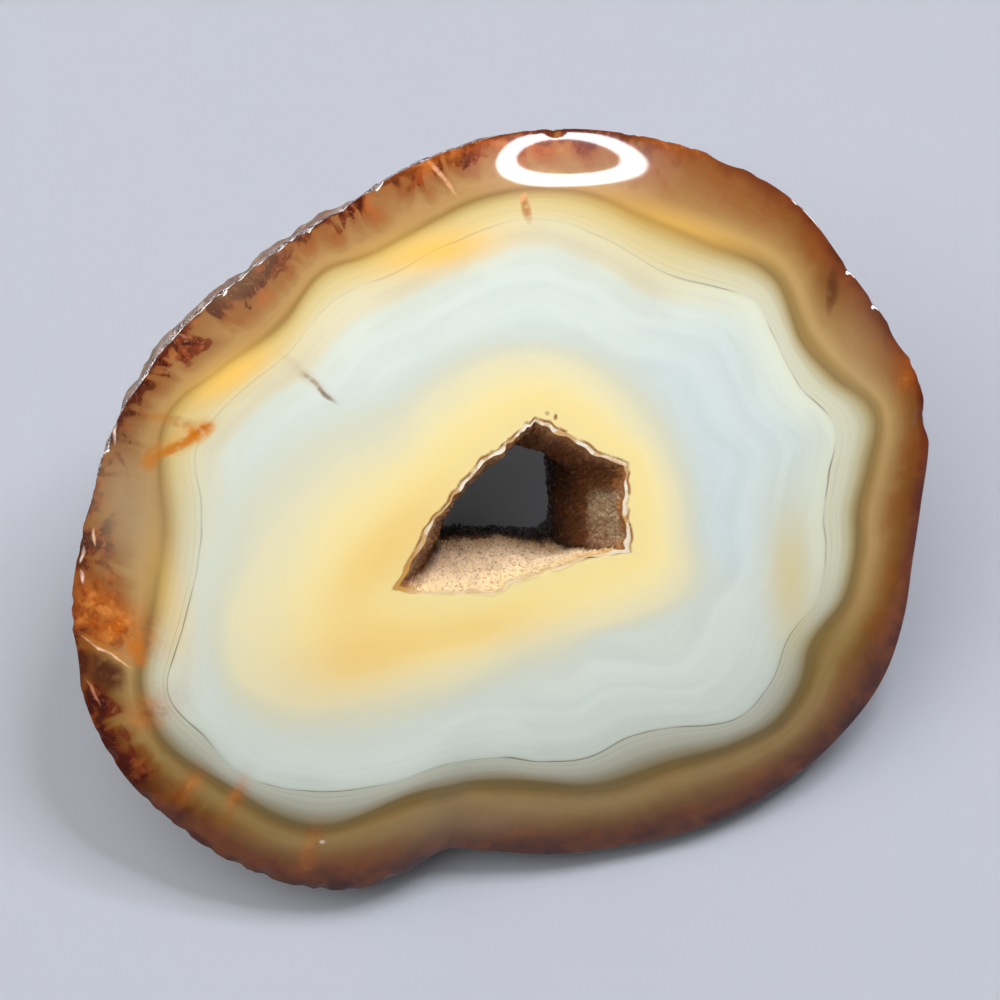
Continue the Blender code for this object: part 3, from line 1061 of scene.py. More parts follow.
    def mixed(self) -> bpy.types.Material:
        """Build the material: bands, glow, stains, hairlines and rind, with their relief.

        Returns:
            The finished material.
        """
        band = self.field("band") + self.swing(self.band_sway, 0.08)
        colour = self.bands(band)
        colour = self.hairline_colour(band, colour)
        colour = self.mark_colour(colour)
        rind = self.field("rind")
        colour = self.blend(rind, colour, self.rind_colour())
        dull = self.rind_gloss * band.fade(*self.rind_dulling) + 0.03
        gloss = rind * (dull + self.swing(self.smear, 0.2)) + self.polish
        bumps = self.noise(self.rind_bumps)
        bumps = bumps + self.noise(self.rind_grit) * 0.35
        facets = self.noise(self.rind_facets) * band.fade(*self.facet_span) * 1.6
        normal = self.relief((bumps + facets) * rind, 0.7, 0.0004)
        self.finish(colour, gloss, normal)
        self.shader.inputs["Specular IOR Level"].default_value = self.specular
        return self.material

    def bands(self, band: Wire) -> Wire:
        """Colour of the bands, the flames at the edge, the glow round the cavity and the stains.

        Args:
            band: Band number, 0 at the edge, 1 at the olive line and 2 at the core.

        Returns:
            The colour.
        """
        power = self.field(Side.FLAME.value) * 0.9 + 0.1
        flow = self.stretch(self.vector_field("flow"), self.tongue_scale)
        tongue = self.patches(self.tongues, flow)
        band = band - (tongue * 0.5 - 0.2) * band.fade(*self.tongue_reach) * power
        clear, honey, shaded_low_side = (
            self.painted(band, shades, self.ramp_reach)
            for shades in (self.clear_bands, self.honey_bands, self.shaded_low_side_bands))
        colour = self.blend(self.field(Side.HONEY.value), clear, honey)
        # Painted shade: the low side takes its darker, greyer bands.
        colour = self.blend(self.field(Side.SHADED_LOW_SIDE.value), colour, shaded_low_side)
        colour = self.shade(colour, self.stripes(band))
        haze = self.patches(self.haze) * band.fade(*self.haze_reach)
        flames = self.swing(self.flames, 3.0) + (0.2 - band) * 1.3
        scorch = flames.fade(0.0, 0.26) * power * band.fade(*self.scorch_reach)
        depths = self.swing(self.depths, 3.0) + (0.12 - band) * 2.2
        margin = band.fade(*self.margin_reach) * 0.85
        dark = depths.fade(0.0, 0.24).maths("MAXIMUM", margin) * power
        lit = self.patches(self.embers) * band.fade(*self.ember_reach) * power
        vein = self.noise(self.veins).line(0.5, 0.01) * scorch
        colour = self.coated(colour, (
            (haze, self.haze_coat), (scorch, self.scorch_coat), (dark, self.depth_coat),
            (lit, self.ember_coat), (vein, self.vein_coat)))
        # Painted light: the glow round the cavity stands in for light passing through the stone,
        # laid over its own yellow.
        glow = self.field("glow") + self.swing(self.glow_sway, 0.3)
        painted_glow_colour = self.painted(glow, self.painted_glow_stops, self.glow_reach)
        colour = self.blend(glow.fade(*self.glow_edge), colour, painted_glow_colour)
        mottle = self.patches(self.mottle) * 0.6 + 0.4
        rust = self.field(Tint.RUST.value) * mottle
        cast = self.noise(self.rust_cast)
        lip = self.field("lip").fade(*self.lip_reach)
        lip = lip * self.patches(self.lip_gaps)
        lip = lip * (self.part("Y").fade(*self.lip_rise) * 0.8 + 0.2)
        return self.coated(colour, (
            (self.field(Tint.MIST.value), self.mist_coat),
            (self.field(Tint.AMBER.value), self.amber_coat),
            (self.field(Tint.OCHRE.value), self.ochre_coat), (rust, self.rust_coat),
            (rust * cast.fade(0.5, 0.68), self.bright_rust),
            (rust * cast.fade(0.48, 0.36), self.deep_rust),
            (self.field(Tint.UMBER.value) * mottle, self.umber_coat), (lip, self.lip_coat)))

    def stripes(self, band: Wire) -> Wire:
        """Fine light and dark layers that follow the bands and are strongest outside the core.

        Args:
            band: Band number.

        Returns:
            Factor of brightness, about 1.
        """
        drift = self.noise(self.layer_drift) * 4.0
        layer = self.node("ShaderNodeCombineXYZ", None, {0: band * 11.0, 1: drift})
        strength = band.fade(3.1, 2.1) * 0.1 + band.fade(2.1, 1.2) * 0.2
        fine = self.swing(self.layers, strength, layer)
        soft = self.swing(self.broad_layers, band.fade(1.9, 2.2) * 0.26,
                          self.stretch(layer, self.broad_scale))
        return fine + soft + 0.985

    def hairline_colour(self, band: Wire, colour: Wire) -> Wire:
        """Darken thin lines between the bands, each fading in and out along its way.

        Args:
            band: Band number.
            colour: Colour so far.

        Returns:
            The colour with the lines.
        """
        patchy = self.patches(self.hairline_gaps)
        patchy = patchy * (1.0 - self.field(Side.HONEY.value) * 0.8) * 0.9 + 0.1
        return self.coated(colour, tuple(
            (band.line(centre, half_width) * patchy, Coat(self.hairline_paint, strength))
            for centre, half_width, strength in self.hairlines))

    def mark_colour(self, colour: Wire) -> Wire:
        """Draw the small cracks and spots of the face, and the painted glints along its left edge.

        Args:
            colour: Colour so far.

        Returns:
            The colour with the marks.
        """
        right = self.part("X") + self.swing(self.mark_sway, 0.9)
        up = self.part("Y") + self.swing(self.mark_rise, 0.9)
        level = self.node("ShaderNodeCombineXYZ", None, {0: right, 1: up})
        patchy = self.patches(self.mark_gaps) * 0.5 + 0.5
        return self.coated(colour, tuple(
            (self.mark(level, stain) * patchy, Coat(paint)) for stain, paint in self.marks))

    def rind_colour(self) -> Wire:
        """Brown rind, rust-stained, dark in its pits and chalky in patches, with painted white
        glints in thin lines near the edge on the upper left.

        Returns:
            The colour.
        """
        near = self.field("band").fade(*self.brown_span)
        # Painted glints: thin white lines on the rind near the edge, on the upper left.
        painted_glint_lines = self.noise(self.rind_glint_lines).line(0.5, 0.045)
        colour = self.painted(self.noise(self.rind_grain), self.rind_shades)
        return self.coated(colour, (
            (self.patches(self.rind_patches), self.rind_rust),
            (self.patches(self.rind_chalk), self.rind_chalking),
            (self.field("pit").fade(*self.pit_span), self.pit_coat),
            (near, self.rind_brown),
            (painted_glint_lines * near * self.field(Side.FLAME.value), self.rind_glint_coat)))


class DruseFinish(Recipe):
    """Sugary quartz crust: pale at the rim, gold-beige inside, brown deeper in, with painted shade
    that darkens it deep in and on the flank.
    """

    depth_sway: Cloud = Cloud(0.5, 3.0)
    grain: Cloud = Cloud(2.6, 3.0, 0.6)
    speckle: Cloud = Cloud(2.2, 3.0, 0.7, span=(0.51, 0.62))
    sparkle: Cloud = Cloud(4.1, 2.0, 0.7, span=(0.56, 0.66))
    rust: Cloud = Cloud(0.3, 3.0, span=(0.54, 0.7))
    gilding: Cloud = Cloud(0.45, 3.0, span=(0.45, 0.57))
    grit: Cloud = Cloud(9.0)
    nook_coat: Coat = Coat((176, 148, 114))
    speckle_coat: Coat = Coat((140, 86, 44), 0.6)
    golden_coat: Coat = Coat((232, 176, 84), 0.6)
    # Near-white of the painted sparkle highlights on the crystals.
    painted_sparkle_coat: Coat = Coat((255, 244, 214))
    rust_coat: Coat = Coat((122, 60, 26), 0.5)
    rim_paint: Paint = (255, 246, 222)
    gilded_rim: Coat = Coat((212, 158, 78))
    warm_rim: Coat = Coat((246, 214, 156), 0.7)
    deepest: float = 24.0
    # Tones by depth behind the rim: brown is the crust's own, and the dark deep in is painted
    # shade of the cavity.
    wall_tones_shaded_deep: Shades = (
        (0.0, (190, 136, 78)), (1.92, (150, 96, 50)), (7.2, (112, 66, 36)),
        (14.4, (60, 36, 24)), (24.0, (30, 24, 26)),
    )
    # The ledge faces the light: its pale tones are partly painted light, and the dark beyond its
    # crest is painted shade.
    lit_ledge_tones: Shades = (
        (0.0, (255, 222, 160)), (4.8, (255, 226, 180)), (13.2, (255, 224, 184)),
        (18.24, (250, 206, 156)), (19.92, (150, 92, 52)), (22.08, (60, 38, 28)),
        (24.0, (34, 28, 30)),
    )
    # The flank is the side wall away from the light: its darker tones are partly painted shade.
    shaded_flank_tones: Shades = (
        (0.0, (176, 118, 62)), (2.88, (118, 68, 34)), (12.0, (96, 56, 30)),
        (19.2, (56, 36, 26)), (24.0, (34, 28, 30)),
    )

    def mixed(self) -> bpy.types.Material:
        """Build the material from the depth behind the rim and the place on the wall.

        Returns:
            The finished material.
        """
        depth = self.field("depth") + self.swing(self.depth_sway, 3.0)
        ledge, flank, nook = (self.field(name) for name in ("ledge", "flank", "nook"))
        # Painted light and shade: a lit ledge and a shaded flank over the crust's own colour,
        # darkening with depth.
        wall, warm, shaded_flank = (self.painted(depth, shades, self.deepest) for shades in (
            self.wall_tones_shaded_deep, self.lit_ledge_tones, self.shaded_flank_tones))
        patch = nook * depth.fade(0.2, 1.2) * depth.fade(9.0, 6.5)
        shaded_flank = self.coated(shaded_flank, ((patch, self.nook_coat),))
        colour = self.blend(ledge, self.blend(flank, wall, shaded_flank), warm)
        speckle = self.patches(self.speckle)
        golden = ledge * self.part("X").fade(2.0, 9.0) * depth.fade(5.0, 1.0)
        # Painted highlights: bright specks as glints off the crystals, most on the ledge near the
        # rim.
        sparkle = self.patches(self.sparkle)
        painted_sparkle = sparkle * (ledge * depth.fade(16.0, 0.0) * 0.8 + patch * 0.5 + ledge * 0.2)
        rust = self.patches(self.rust) * (1.0 - ledge * 0.7)
        colour = self.coated(colour, (
            (speckle, self.speckle_coat), (golden, self.golden_coat), (painted_sparkle, self.painted_sparkle_coat),
            (rust, self.rust_coat)))
        gilded = self.patches(self.gilding) * 0.85 + nook * 0.15
        gilded = gilded.maths("MAXIMUM", self.part("X").fade(-9.5, -12.5))
        pale = self.coated(
            pigment(*self.rim_paint), ((gilded, self.gilded_rim), (ledge, self.warm_rim)))
        colour = self.blend(self.field("rim"), colour, pale)
        normal = self.relief(self.noise(self.grit), 0.5, 0.00012)
        self.finish(colour, self.noise(self.grain) * 0.35 + 0.16, normal)
        return self.material


@dataclass
class PolishedStone:
    """The stone: one closed surface over the face, the rind and the cavity wall."""

    pose: Pose
    form: NoduleForm = NoduleForm()
    cavity: CavityForm = CavityForm()
    name: str = "banded_agate_stone"
    columns: int = 640
    glow_rows: tuple[int, int] = (6, 4)
    band_rows: tuple[int, int, int, int] = (14, 9, 8, 11)
    rind_rows: int = 84
    wall_rows: int = 13
    edge_margin: float = 2.4
    lip_rows: int = 4
    lip_width: float = 0.5
    line_gap: float = 0.8
    band_width: float = 10.0
    flow_radius: float = 46.0
    wall_bands: Pair = (-2.0, 3.0)
    wall_rind: Pair = (1.6, -0.4)
    wall_glow: float = 1.5
    wall_inward: float = 30.0
    rim_tries: int = 12
    rim_step: float = 0.6
    row_powers: Pair = (1.5, 0.6)
    polish_fade: float = 0.5
    wear_fade: float = 5.0
    soft_rounds: int = 2
    olive_line: Contour = Contour((
        (0, 38.0), (8, 39.5), (16, 41.2), (24, 38.0), (32, 36.5), (44, 38.3), (56, 36.3),
        (66, 35.4), (80, 36.3), (96, 35.7), (112, 33.8), (120, 33.7), (128, 34.9),
        (140, 34.0), (152, 36.6), (162, 39.9), (172, 39.3), (178, 38.5), (192, 40.5),
        (204, 45.0), (210, 45.6), (222, 43.2), (238, 40.0), (248, 33.0), (256, 30.6),
        (268, 29.2), (276, 29.8), (284, 31.2), (304, 33.2), (314, 36.2), (322, 38.0),
        (328, 37.8), (336, 36.2), (346, 38.2), (354, 38.3),
    ))
    core_line: Contour = Contour((
        (0, 34.0), (8, 34.7), (16, 36.3), (26, 34.0), (36, 34.2), (44, 34.9), (52, 33.0),
        (60, 31.4), (76, 32.4), (88, 33.3), (104, 31.9), (116, 31.0), (130, 32.0),
        (144, 31.9), (156, 34.6), (166, 36.3), (176, 34.8), (186, 35.3), (196, 38.2),
        (206, 42.5), (214, 41.6), (222, 41.2), (232, 37.6), (242, 33.0), (252, 28.5),
        (264, 26.5), (276, 27.2), (286, 27.9), (298, 27.5), (306, 29.2), (318, 34.0),
        (326, 34.3), (336, 33.3), (346, 35.0), (354, 34.7),
    ))
    glow_line: Contour = Contour((
        (0, 19.6), (45, 20.2), (88, 21.0), (112, 20.8), (136, 21.2), (152, 25.6),
        (168, 31.4), (184, 34.0), (205, 37.4), (216, 37.2), (232, 29.9), (248, 22.3),
        (264, 18.2), (288, 16.6), (304, 15.5), (328, 20.1), (336, 21.6),
    ))
    warm_line: Contour = Contour((
        (0, 17.3), (48, 17.3), (88, 18.9), (120, 17.8), (150, 18.4), (168, 23.1),
        (184, 28.1), (200, 33.7), (208, 34.6), (216, 32.4), (232, 23.0), (248, 18.1),
        (264, 14.4), (304, 13.7), (320, 15.8), (336, 18.8),
    ))
    stains: dict[Tint, tuple[Stain, ...]] = field(default_factory=lambda: {
        Tint.AMBER: (
            Stain(-31.4, 16.6, 5.4, 1.5, 34.0, 0.8), Stain(-9.5, 29.9, 6.5, 1.9, 14.0, 0.9),
            Stain(17.0, 32.3, 8.5, 1.3, -19.0, 0.45),
            Stain(-14.5, -2.0, 9.0, 3.2, 44.0, 0.5), Stain(-18.0, -14.0, 7.5, 4.2, 14.0, 0.55),
            Stain(-4.0, -11.5, 9.0, 2.4, 12.0, 0.4),
            Stain(-38.0, -8.0, 2.2, 8.0, 10.0, 0.35),
        ),
        Tint.OCHRE: (Stain(30.1, -6.3, 2.8, 8.0, 4.0, 0.6),),
        Tint.RUST: (
            Stain(-43.6, -11.0, 3.6, 2.6, -24.0, 0.95), Stain(-46.4, -9.0, 2.4, 3.0, 0.0, 0.6),
            Stain(-36.0, -29.2, 2.4, 0.9, 60.0, 0.5), Stain(-31.0, -30.4, 2.6, 0.8, 70.0, 0.45),
            Stain(-22.7, -37.1, 3.0, 1.0, 80.0, 0.4), Stain(-12.0, 38.9, 4.5, 1.3, 18.0, 0.6),
            Stain(17.0, 41.0, 3.6, 1.0, -14.0, 0.6), Stain(0.0, 40.5, 7.0, 1.5, 0.0, 0.45),
            Stain(-40.5, -20.5, 3.0, 2.0, 40.0, 0.5), Stain(44.3, 15.4, 2.4, 1.2, 70.0, 0.5),
        ),
        Tint.UMBER: (
            Stain(-47.2, -16.4, 4.2, 2.2, -32.0, 0.8), Stain(34.4, 25.4, 3.2, 1.6, 70.0, 0.4),
            Stain(-43.0, 11.5, 3.8, 2.2, 60.0, 0.6), Stain(-30.0, 28.5, 6.0, 1.6, 42.0, 0.5),
        ),
        Tint.MIST: (
            Stain(-42.0, 1.4, 3.4, 6.4, 8.0, 0.85), Stain(38.0, 18.0, 3.4, 6.4, 20.0, 0.35),
            Stain(-4.0, -34.4, 10.0, 2.4, 4.0, 0.35), Stain(-30.0, 27.0, 6.0, 2.6, 42.0, 0.3),
        ),
    })
    sides: dict[Side, Sector] = field(default_factory=lambda: {
        Side.HONEY: Sector(118.0, 46.0, 38.0),
        # Sector of the low side, where the bands carry painted shade.
        Side.SHADED_LOW_SIDE: Sector(276.0, 58.0, 22.0),
        Side.FLAME: Sector(146.0, 58.0, 26.0),
    })
    chips: tuple[Chip, ...] = (
        Chip(176, 0.0, 3.4, 0.25), Chip(197, 0.1, 3.4, 0.4), Chip(158, 0.2, 3.4, 0.3),
        Chip(140, 0.4, 4.0, 0.3), Chip(118, 0.3, 3.6, 0.3), Chip(60, 0.1, 2.4, 0.4),
        Chip(24, 0.0, 2.4, 0.45), Chip(12, 0.2, 2.4, 0.4), Chip(318, 1.2, 6.5, 1.8),
        Chip(96, 2.4, 6.0, 1.8), Chip(205, 1.9, 7.0, 2.0), Chip(40, 3.1, 6.5, 1.8),
    )
    chip_step: float = math.radians(20.0)
    lumps: Waves = Waves(11, 14, (9.0, 24.0))
    lump_height: float = 0.55
    lump_turn: float = math.radians(30.0)
    warts: Waves = Waves(23, 26, (2.4, 6.0))
    wart_height: float = 0.16
    wrinkles: Waves = Waves(31, 30, (0.9, 2.2))
    wrinkle_height: float = 0.05
    pit_sizes: tuple[Triple, ...] = ((7.0, 0.34, 0.9), (3.2, 0.36, 0.4))
    calm_point: Triple = (-3.0, -15.0, -26.0)
    calm_reach: float = 13.0
    nibble_seed: int = 47
    nibble_count: int = 90
    nibble_degrees: Pair = (5.0, 255.0)
    nibble_turns: Pair = (0.0, 3.0)
    nibble_radii: Pair = (0.4, 1.1)
    nibble_depths: Pair = (0.10, 0.26)
    nibble_tilts: Pair = (-0.2, 0.9)

    def build(self) -> bpy.types.Object:
        """Make the stone's surface, dress it and set it in place of its CAD node.

        Returns:
            The finished piece.
        """
        angle = FULL_TURN * np.arange(self.columns) / self.columns
        face, fields = self.face_rows(angle)
        rear, turn_end, angle_end = self.rear_rim(angle)
        turn, heading = self.rind_rows_at(angle, turn_end, angle_end)
        rind = self.weathered(self.form.rind(heading, turn), turn)
        wall = self.wall_rows_at(angle, face[0], rear, rind[-1])
        points = self.chipped(np.concatenate((face, rind, wall)))
        behind = self.travel(face[-1], rind)
        rough, worn = (np.concatenate((
            np.zeros(face.shape[:2]), ease(behind / fade), np.zeros(wall.shape[:2])))
            for fade in (self.polish_fade, self.wear_fade))
        points, pit = self.roughened(self.softened(points, len(face) - 1), rough, worn)
        points = self.nibbled(points)
        standing = self.pose.stand(points)
        standing[..., 2] = np.maximum(standing[..., 2], 0.0)
        fields = self.all_fields(fields, points, rough, behind, angle)
        fields["pit"] = pit
        piece = closed_surface(self.name, standing * MM, fields, True)
        piece.data.materials.append(AgateFinish("banded_agate_finish", self.pose).mixed())
        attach(piece, "root")
        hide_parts(CadNode.STONE.value)
        return piece

    def face_rows(self, angle: Array) -> tuple[Array, dict[str, Array]]:
        """Rows of the face, from the cavity's mouth to the edge, that follow its bands.

        Args:
            angle: Direction of each column.

        Returns:
            The points, and the fields of band, glow, lip and distance in from the edge.
        """
        mouth = self.cavity.mouth_line(self.cavity.place_towards(angle), 0.0)
        rim = np.linalg.norm(mouth, axis=-1)
        edge = self.form.edge.radius(angle)
        core, olive = self.core_line.radius(angle), self.olive_line.radius(angle)
        # The glow and warm lines bound the yellow round the cavity, which is partly painted light
        # passing through the stone.
        glow, warm = self.glow_line.radius(angle), self.warm_line.radius(angle)
        glow = np.minimum(glow, core - self.line_gap)
        warm = np.minimum(warm, glow - self.line_gap)
        lip = rim + self.lip_width
        lines = (rim, lip, warm, glow, core, olive, edge - self.edge_margin, edge)
        counts = (self.lip_rows, *self.glow_rows, *self.band_rows)
        rows = [between(start, end, share)
                for start, end, count in zip(lines, lines[1:], counts)
                for share in np.arange(count) / count]
        radius = np.array([*rows, edge])
        plan = radius[..., None] * turned(angle)
        height = self.form.dome(radius / edge)
        band = np.where(
            radius <= core, 2.0 + (core - radius) / self.band_width,
            np.where(radius <= olive, 1.0 + (olive - radius) / (olive - core),
                     (edge - radius) / (edge - olive)))
        warmth = np.where(
            radius <= warm, 1.0 + (warm - radius) / (warm - rim), (glow - radius) / (glow - warm))
        fields = {"band": band, "glow": np.maximum(warmth, -1.0), "inward": edge - radius,
                  "lip": ease(1.0 - (radius - rim) / self.lip_width)}
        return np.concatenate((plan, height[..., None]), axis=-1), fields

    def rear_rim(self, angle: Array) -> tuple[Array, Array, Array]:
        """Find where the cavity's wall leaves the stone at the back, by turns of guess and test.

        Args:
            angle: Direction of each column.

        Returns:
            The height w, the turn and the angle of each column's rear end.
        """
        place = self.cavity.place_towards(angle)
        w = np.full(angle.shape, self.cavity.rear_w)
        for _ in range(self.rim_tries):
            point = self.cavity.wall(place, w, 0.0)
            angle_end, turn_end = self.form.behind(point[:, :2])
            w = between(w, self.form.rind(angle_end, turn_end)[:, 2], self.rim_step)
        angle_end = angle + np.mod(angle_end - angle + math.pi, FULL_TURN) - math.pi
        return w, turn_end, angle_end

    def rind_rows_at(self, angle: Array, turn_end: Array,
                     angle_end: Array) -> tuple[Array, Array]:
        """Turn and angle of the rind's rows, dense behind the edge.

        Args:
            angle: Direction of each column at the edge.
            turn_end: Turn of each column at the rear mouth.
            angle_end: Angle of each column at the rear mouth.

        Returns:
            Two arrays of rows by columns.
        """
        share = (np.arange(self.rind_rows) + 1.0)[:, None] / self.rind_rows
        power = self.row_powers[0] - self.row_powers[1] * self.form.downhill(angle)
        return turn_end * share ** power, between(angle, angle_end, ease(share))

    def wall_rows_at(self, angle: Array, front: Array, rear_w: Array, end: Array) -> Array:
        """Rows of the cavity's wall, from behind to the front, that start at the rind's end.

        Args:
            angle: Direction of each column.
            front: Points of the mouth in the face.
            rear_w: Height of each column's rear end.
            end: Last row of the rind.

        Returns:
            The points.
        """
        share = (np.arange(self.wall_rows) + 1.0)[:, None] / (self.wall_rows + 1.0)
        place = np.broadcast_to(self.cavity.place_towards(angle), (self.wall_rows, self.columns))
        wall = self.cavity.wall(place, between(rear_w, front[:, 2], share), 0.0)
        start = self.cavity.wall(place[0], rear_w, 0.0)
        return wall + (end - start) * ((1.0 - share) ** 3)[..., None]

    def weathered(self, points: Array, turn: Array) -> Array:
        """Raise the rind by its lumps, which fade at the polished edge and round the rest spot.

        Args:
            points: Points of the smooth rind.
            turn: Their turn.

        Returns:
            The points moved outward.
        """
        height = self.lump_height * self.lumps.height(points) * ease(turn / self.lump_turn)
        height = height * self.unrest(points)
        return points + self.form.outward(points) * height[..., None]

    def unrest(self, points: Array) -> Array:
        """One less exp(-(distance from the calm point / reach)^2)."""
        away = np.linalg.norm(points - np.array(self.calm_point), axis=-1) / self.calm_reach
        return 1.0 - np.exp(-away * away)

    def chipped(self, points: Array) -> Array:
        """Press shallow bowls inward: depth times one less the square of distance over radius.

        Args:
            points: Points of the stone.

        Returns:
            The points with the flake scars.
        """
        for chip in self.chips:
            heading = np.array([math.radians(chip.degrees)])
            centre = self.form.rind(heading, np.array([chip.place * self.chip_step]))[0]
            near = np.linalg.norm(points - centre, axis=-1) / chip.radius
            bite = chip.depth * np.clip(1.0 - near * near, 0.0, 1.0)
            points = points - self.form.outward(points) * bite[..., None]
        return points

    @staticmethod
    def travel(edge: Array, rind: Array) -> Array:
        """Distance along each column of the rind from the polished edge."""
        steps = np.linalg.norm(np.diff(np.concatenate((edge[None], rind)), axis=0), axis=-1)
        return np.cumsum(steps, axis=0)

    def softened(self, points: Array, row: int) -> Array:
        """Round the polished edge: its rows move half way to the mean of their neighbours.

        Args:
            points: Points of the stone.
            row: Row of the edge.

        Returns:
            The points with the rounded edge.
        """
        for _ in range(self.soft_rounds):
            near = points[row - 2:row + 3]
            mean = 0.5 * (points[row - 3:row + 2] + points[row - 1:row + 4])
            points = np.concatenate((points[:row - 2], between(near, mean, 0.5), points[row + 3:]))
        return points

    def roughened(self, points: Array, rough: Array, worn: Array) -> tuple[Array, Array]:
        """Give the rind its warts, wrinkles and pits, along the surface's own normals.

        Warts are waves and wrinkles are the folds of finer waves: one less their size. A pit
        is a bowl round the random point of a lattice cell.

        Args:
            points: Points of the stone.
            rough: From 0 where the surface is smooth to 1 on the rind.
            worn: The same, but growing further behind the polished edge.

        Returns:
            The points, and how deep in a pit each of them is, from 0 to 1.
        """
        wart = self.wart_height * self.warts.height(points)
        wrinkle = self.wrinkle_height * (1.0 - 2.0 * np.abs(self.wrinkles.height(points)))
        height = wart * worn + wrinkle
        pit = np.zeros(rough.shape)
        for seed, (cell, reach, depth) in enumerate(self.pit_sizes):
            bowl = ease(1.0 - nearest_point(points, cell, seed) / reach)
            height = height - depth * bowl * worn
            pit = np.maximum(pit, bowl * worn)
        height = height * rough * self.unrest(points)
        return points + grid_normals(points) * height[..., None], pit * rough

    def nibbled(self, points: Array) -> Array:
        """Break small seeded flakes off the polished edge, mostly along its upper side.

        Args:
            points: Points of the stone.

        Returns:
            The points with the flakes pressed in.
        """
        dice = np.random.default_rng(self.nibble_seed)
        for _ in range(self.nibble_count):
            heading = np.array([math.radians(dice.uniform(*self.nibble_degrees))])
            turn = np.array([math.radians(dice.uniform(*self.nibble_turns))])
            radius = dice.uniform(*self.nibble_radii)
            depth = radius * dice.uniform(*self.nibble_depths)
            centre = self.form.rind(heading, turn)[0]
            tilt = self.form.outward(centre)
            tilt = tilt + np.array((0.0, 0.0, dice.uniform(*self.nibble_tilts)))
            near = np.linalg.norm(points - centre, axis=-1) / radius
            bite = depth * np.clip(1.0 - near * near, 0.0, 1.0)
            points = points - tilt * bite[..., None]
        return points

    def all_fields(self, fields: dict[str, Array], points: Array, rough: Array, behind: Array,
                   angle: Array) -> dict[str, Array]:
        """Fill the face's fields in over the rind and the wall, and add the stains.

        Args:
            fields: Band, glow, lip and distance inward on the face's rows.
            points: All points.
            rough: From 0 where the surface is smooth to 1 on the rind.
            behind: Distance of the rind's points from the polished edge.
            angle: Direction of each column.

        Returns:
            The fields of all rows.
        """
        wall = np.ones((self.wall_rows, self.columns))
        through, rind = (np.linspace(*ends, self.wall_rows)[:, None] * wall
                         for ends in (self.wall_bands, self.wall_rind))
        inward = np.concatenate((fields["inward"], -behind, self.wall_inward * wall))
        circle = np.broadcast_to(self.flow_radius * turned(angle), (*inward.shape, 2))
        made = {
            "band": np.concatenate((fields["band"], -behind / self.band_width, through)),
            "glow": np.concatenate((
                fields["glow"], np.full(behind.shape, -1.0), self.wall_glow * wall)),
            "lip": np.concatenate((fields["lip"], np.zeros(behind.shape), 0.0 * wall)),
            "rind": np.concatenate((rough[:-self.wall_rows], ease(rind))),
            "flow": np.concatenate((circle, inward[..., None]), axis=-1),
        }
        for side, sector in self.sides.items():
            made[side.value] = np.broadcast_to(sector.share(angle), inward.shape)
        for tint, stains in self.stains.items():
            total = sum(stain.amount(points) for stain in stains)
            made[tint.value] = np.clip(total, 0.0, 1.0) * (1.0 - rough)
        return made


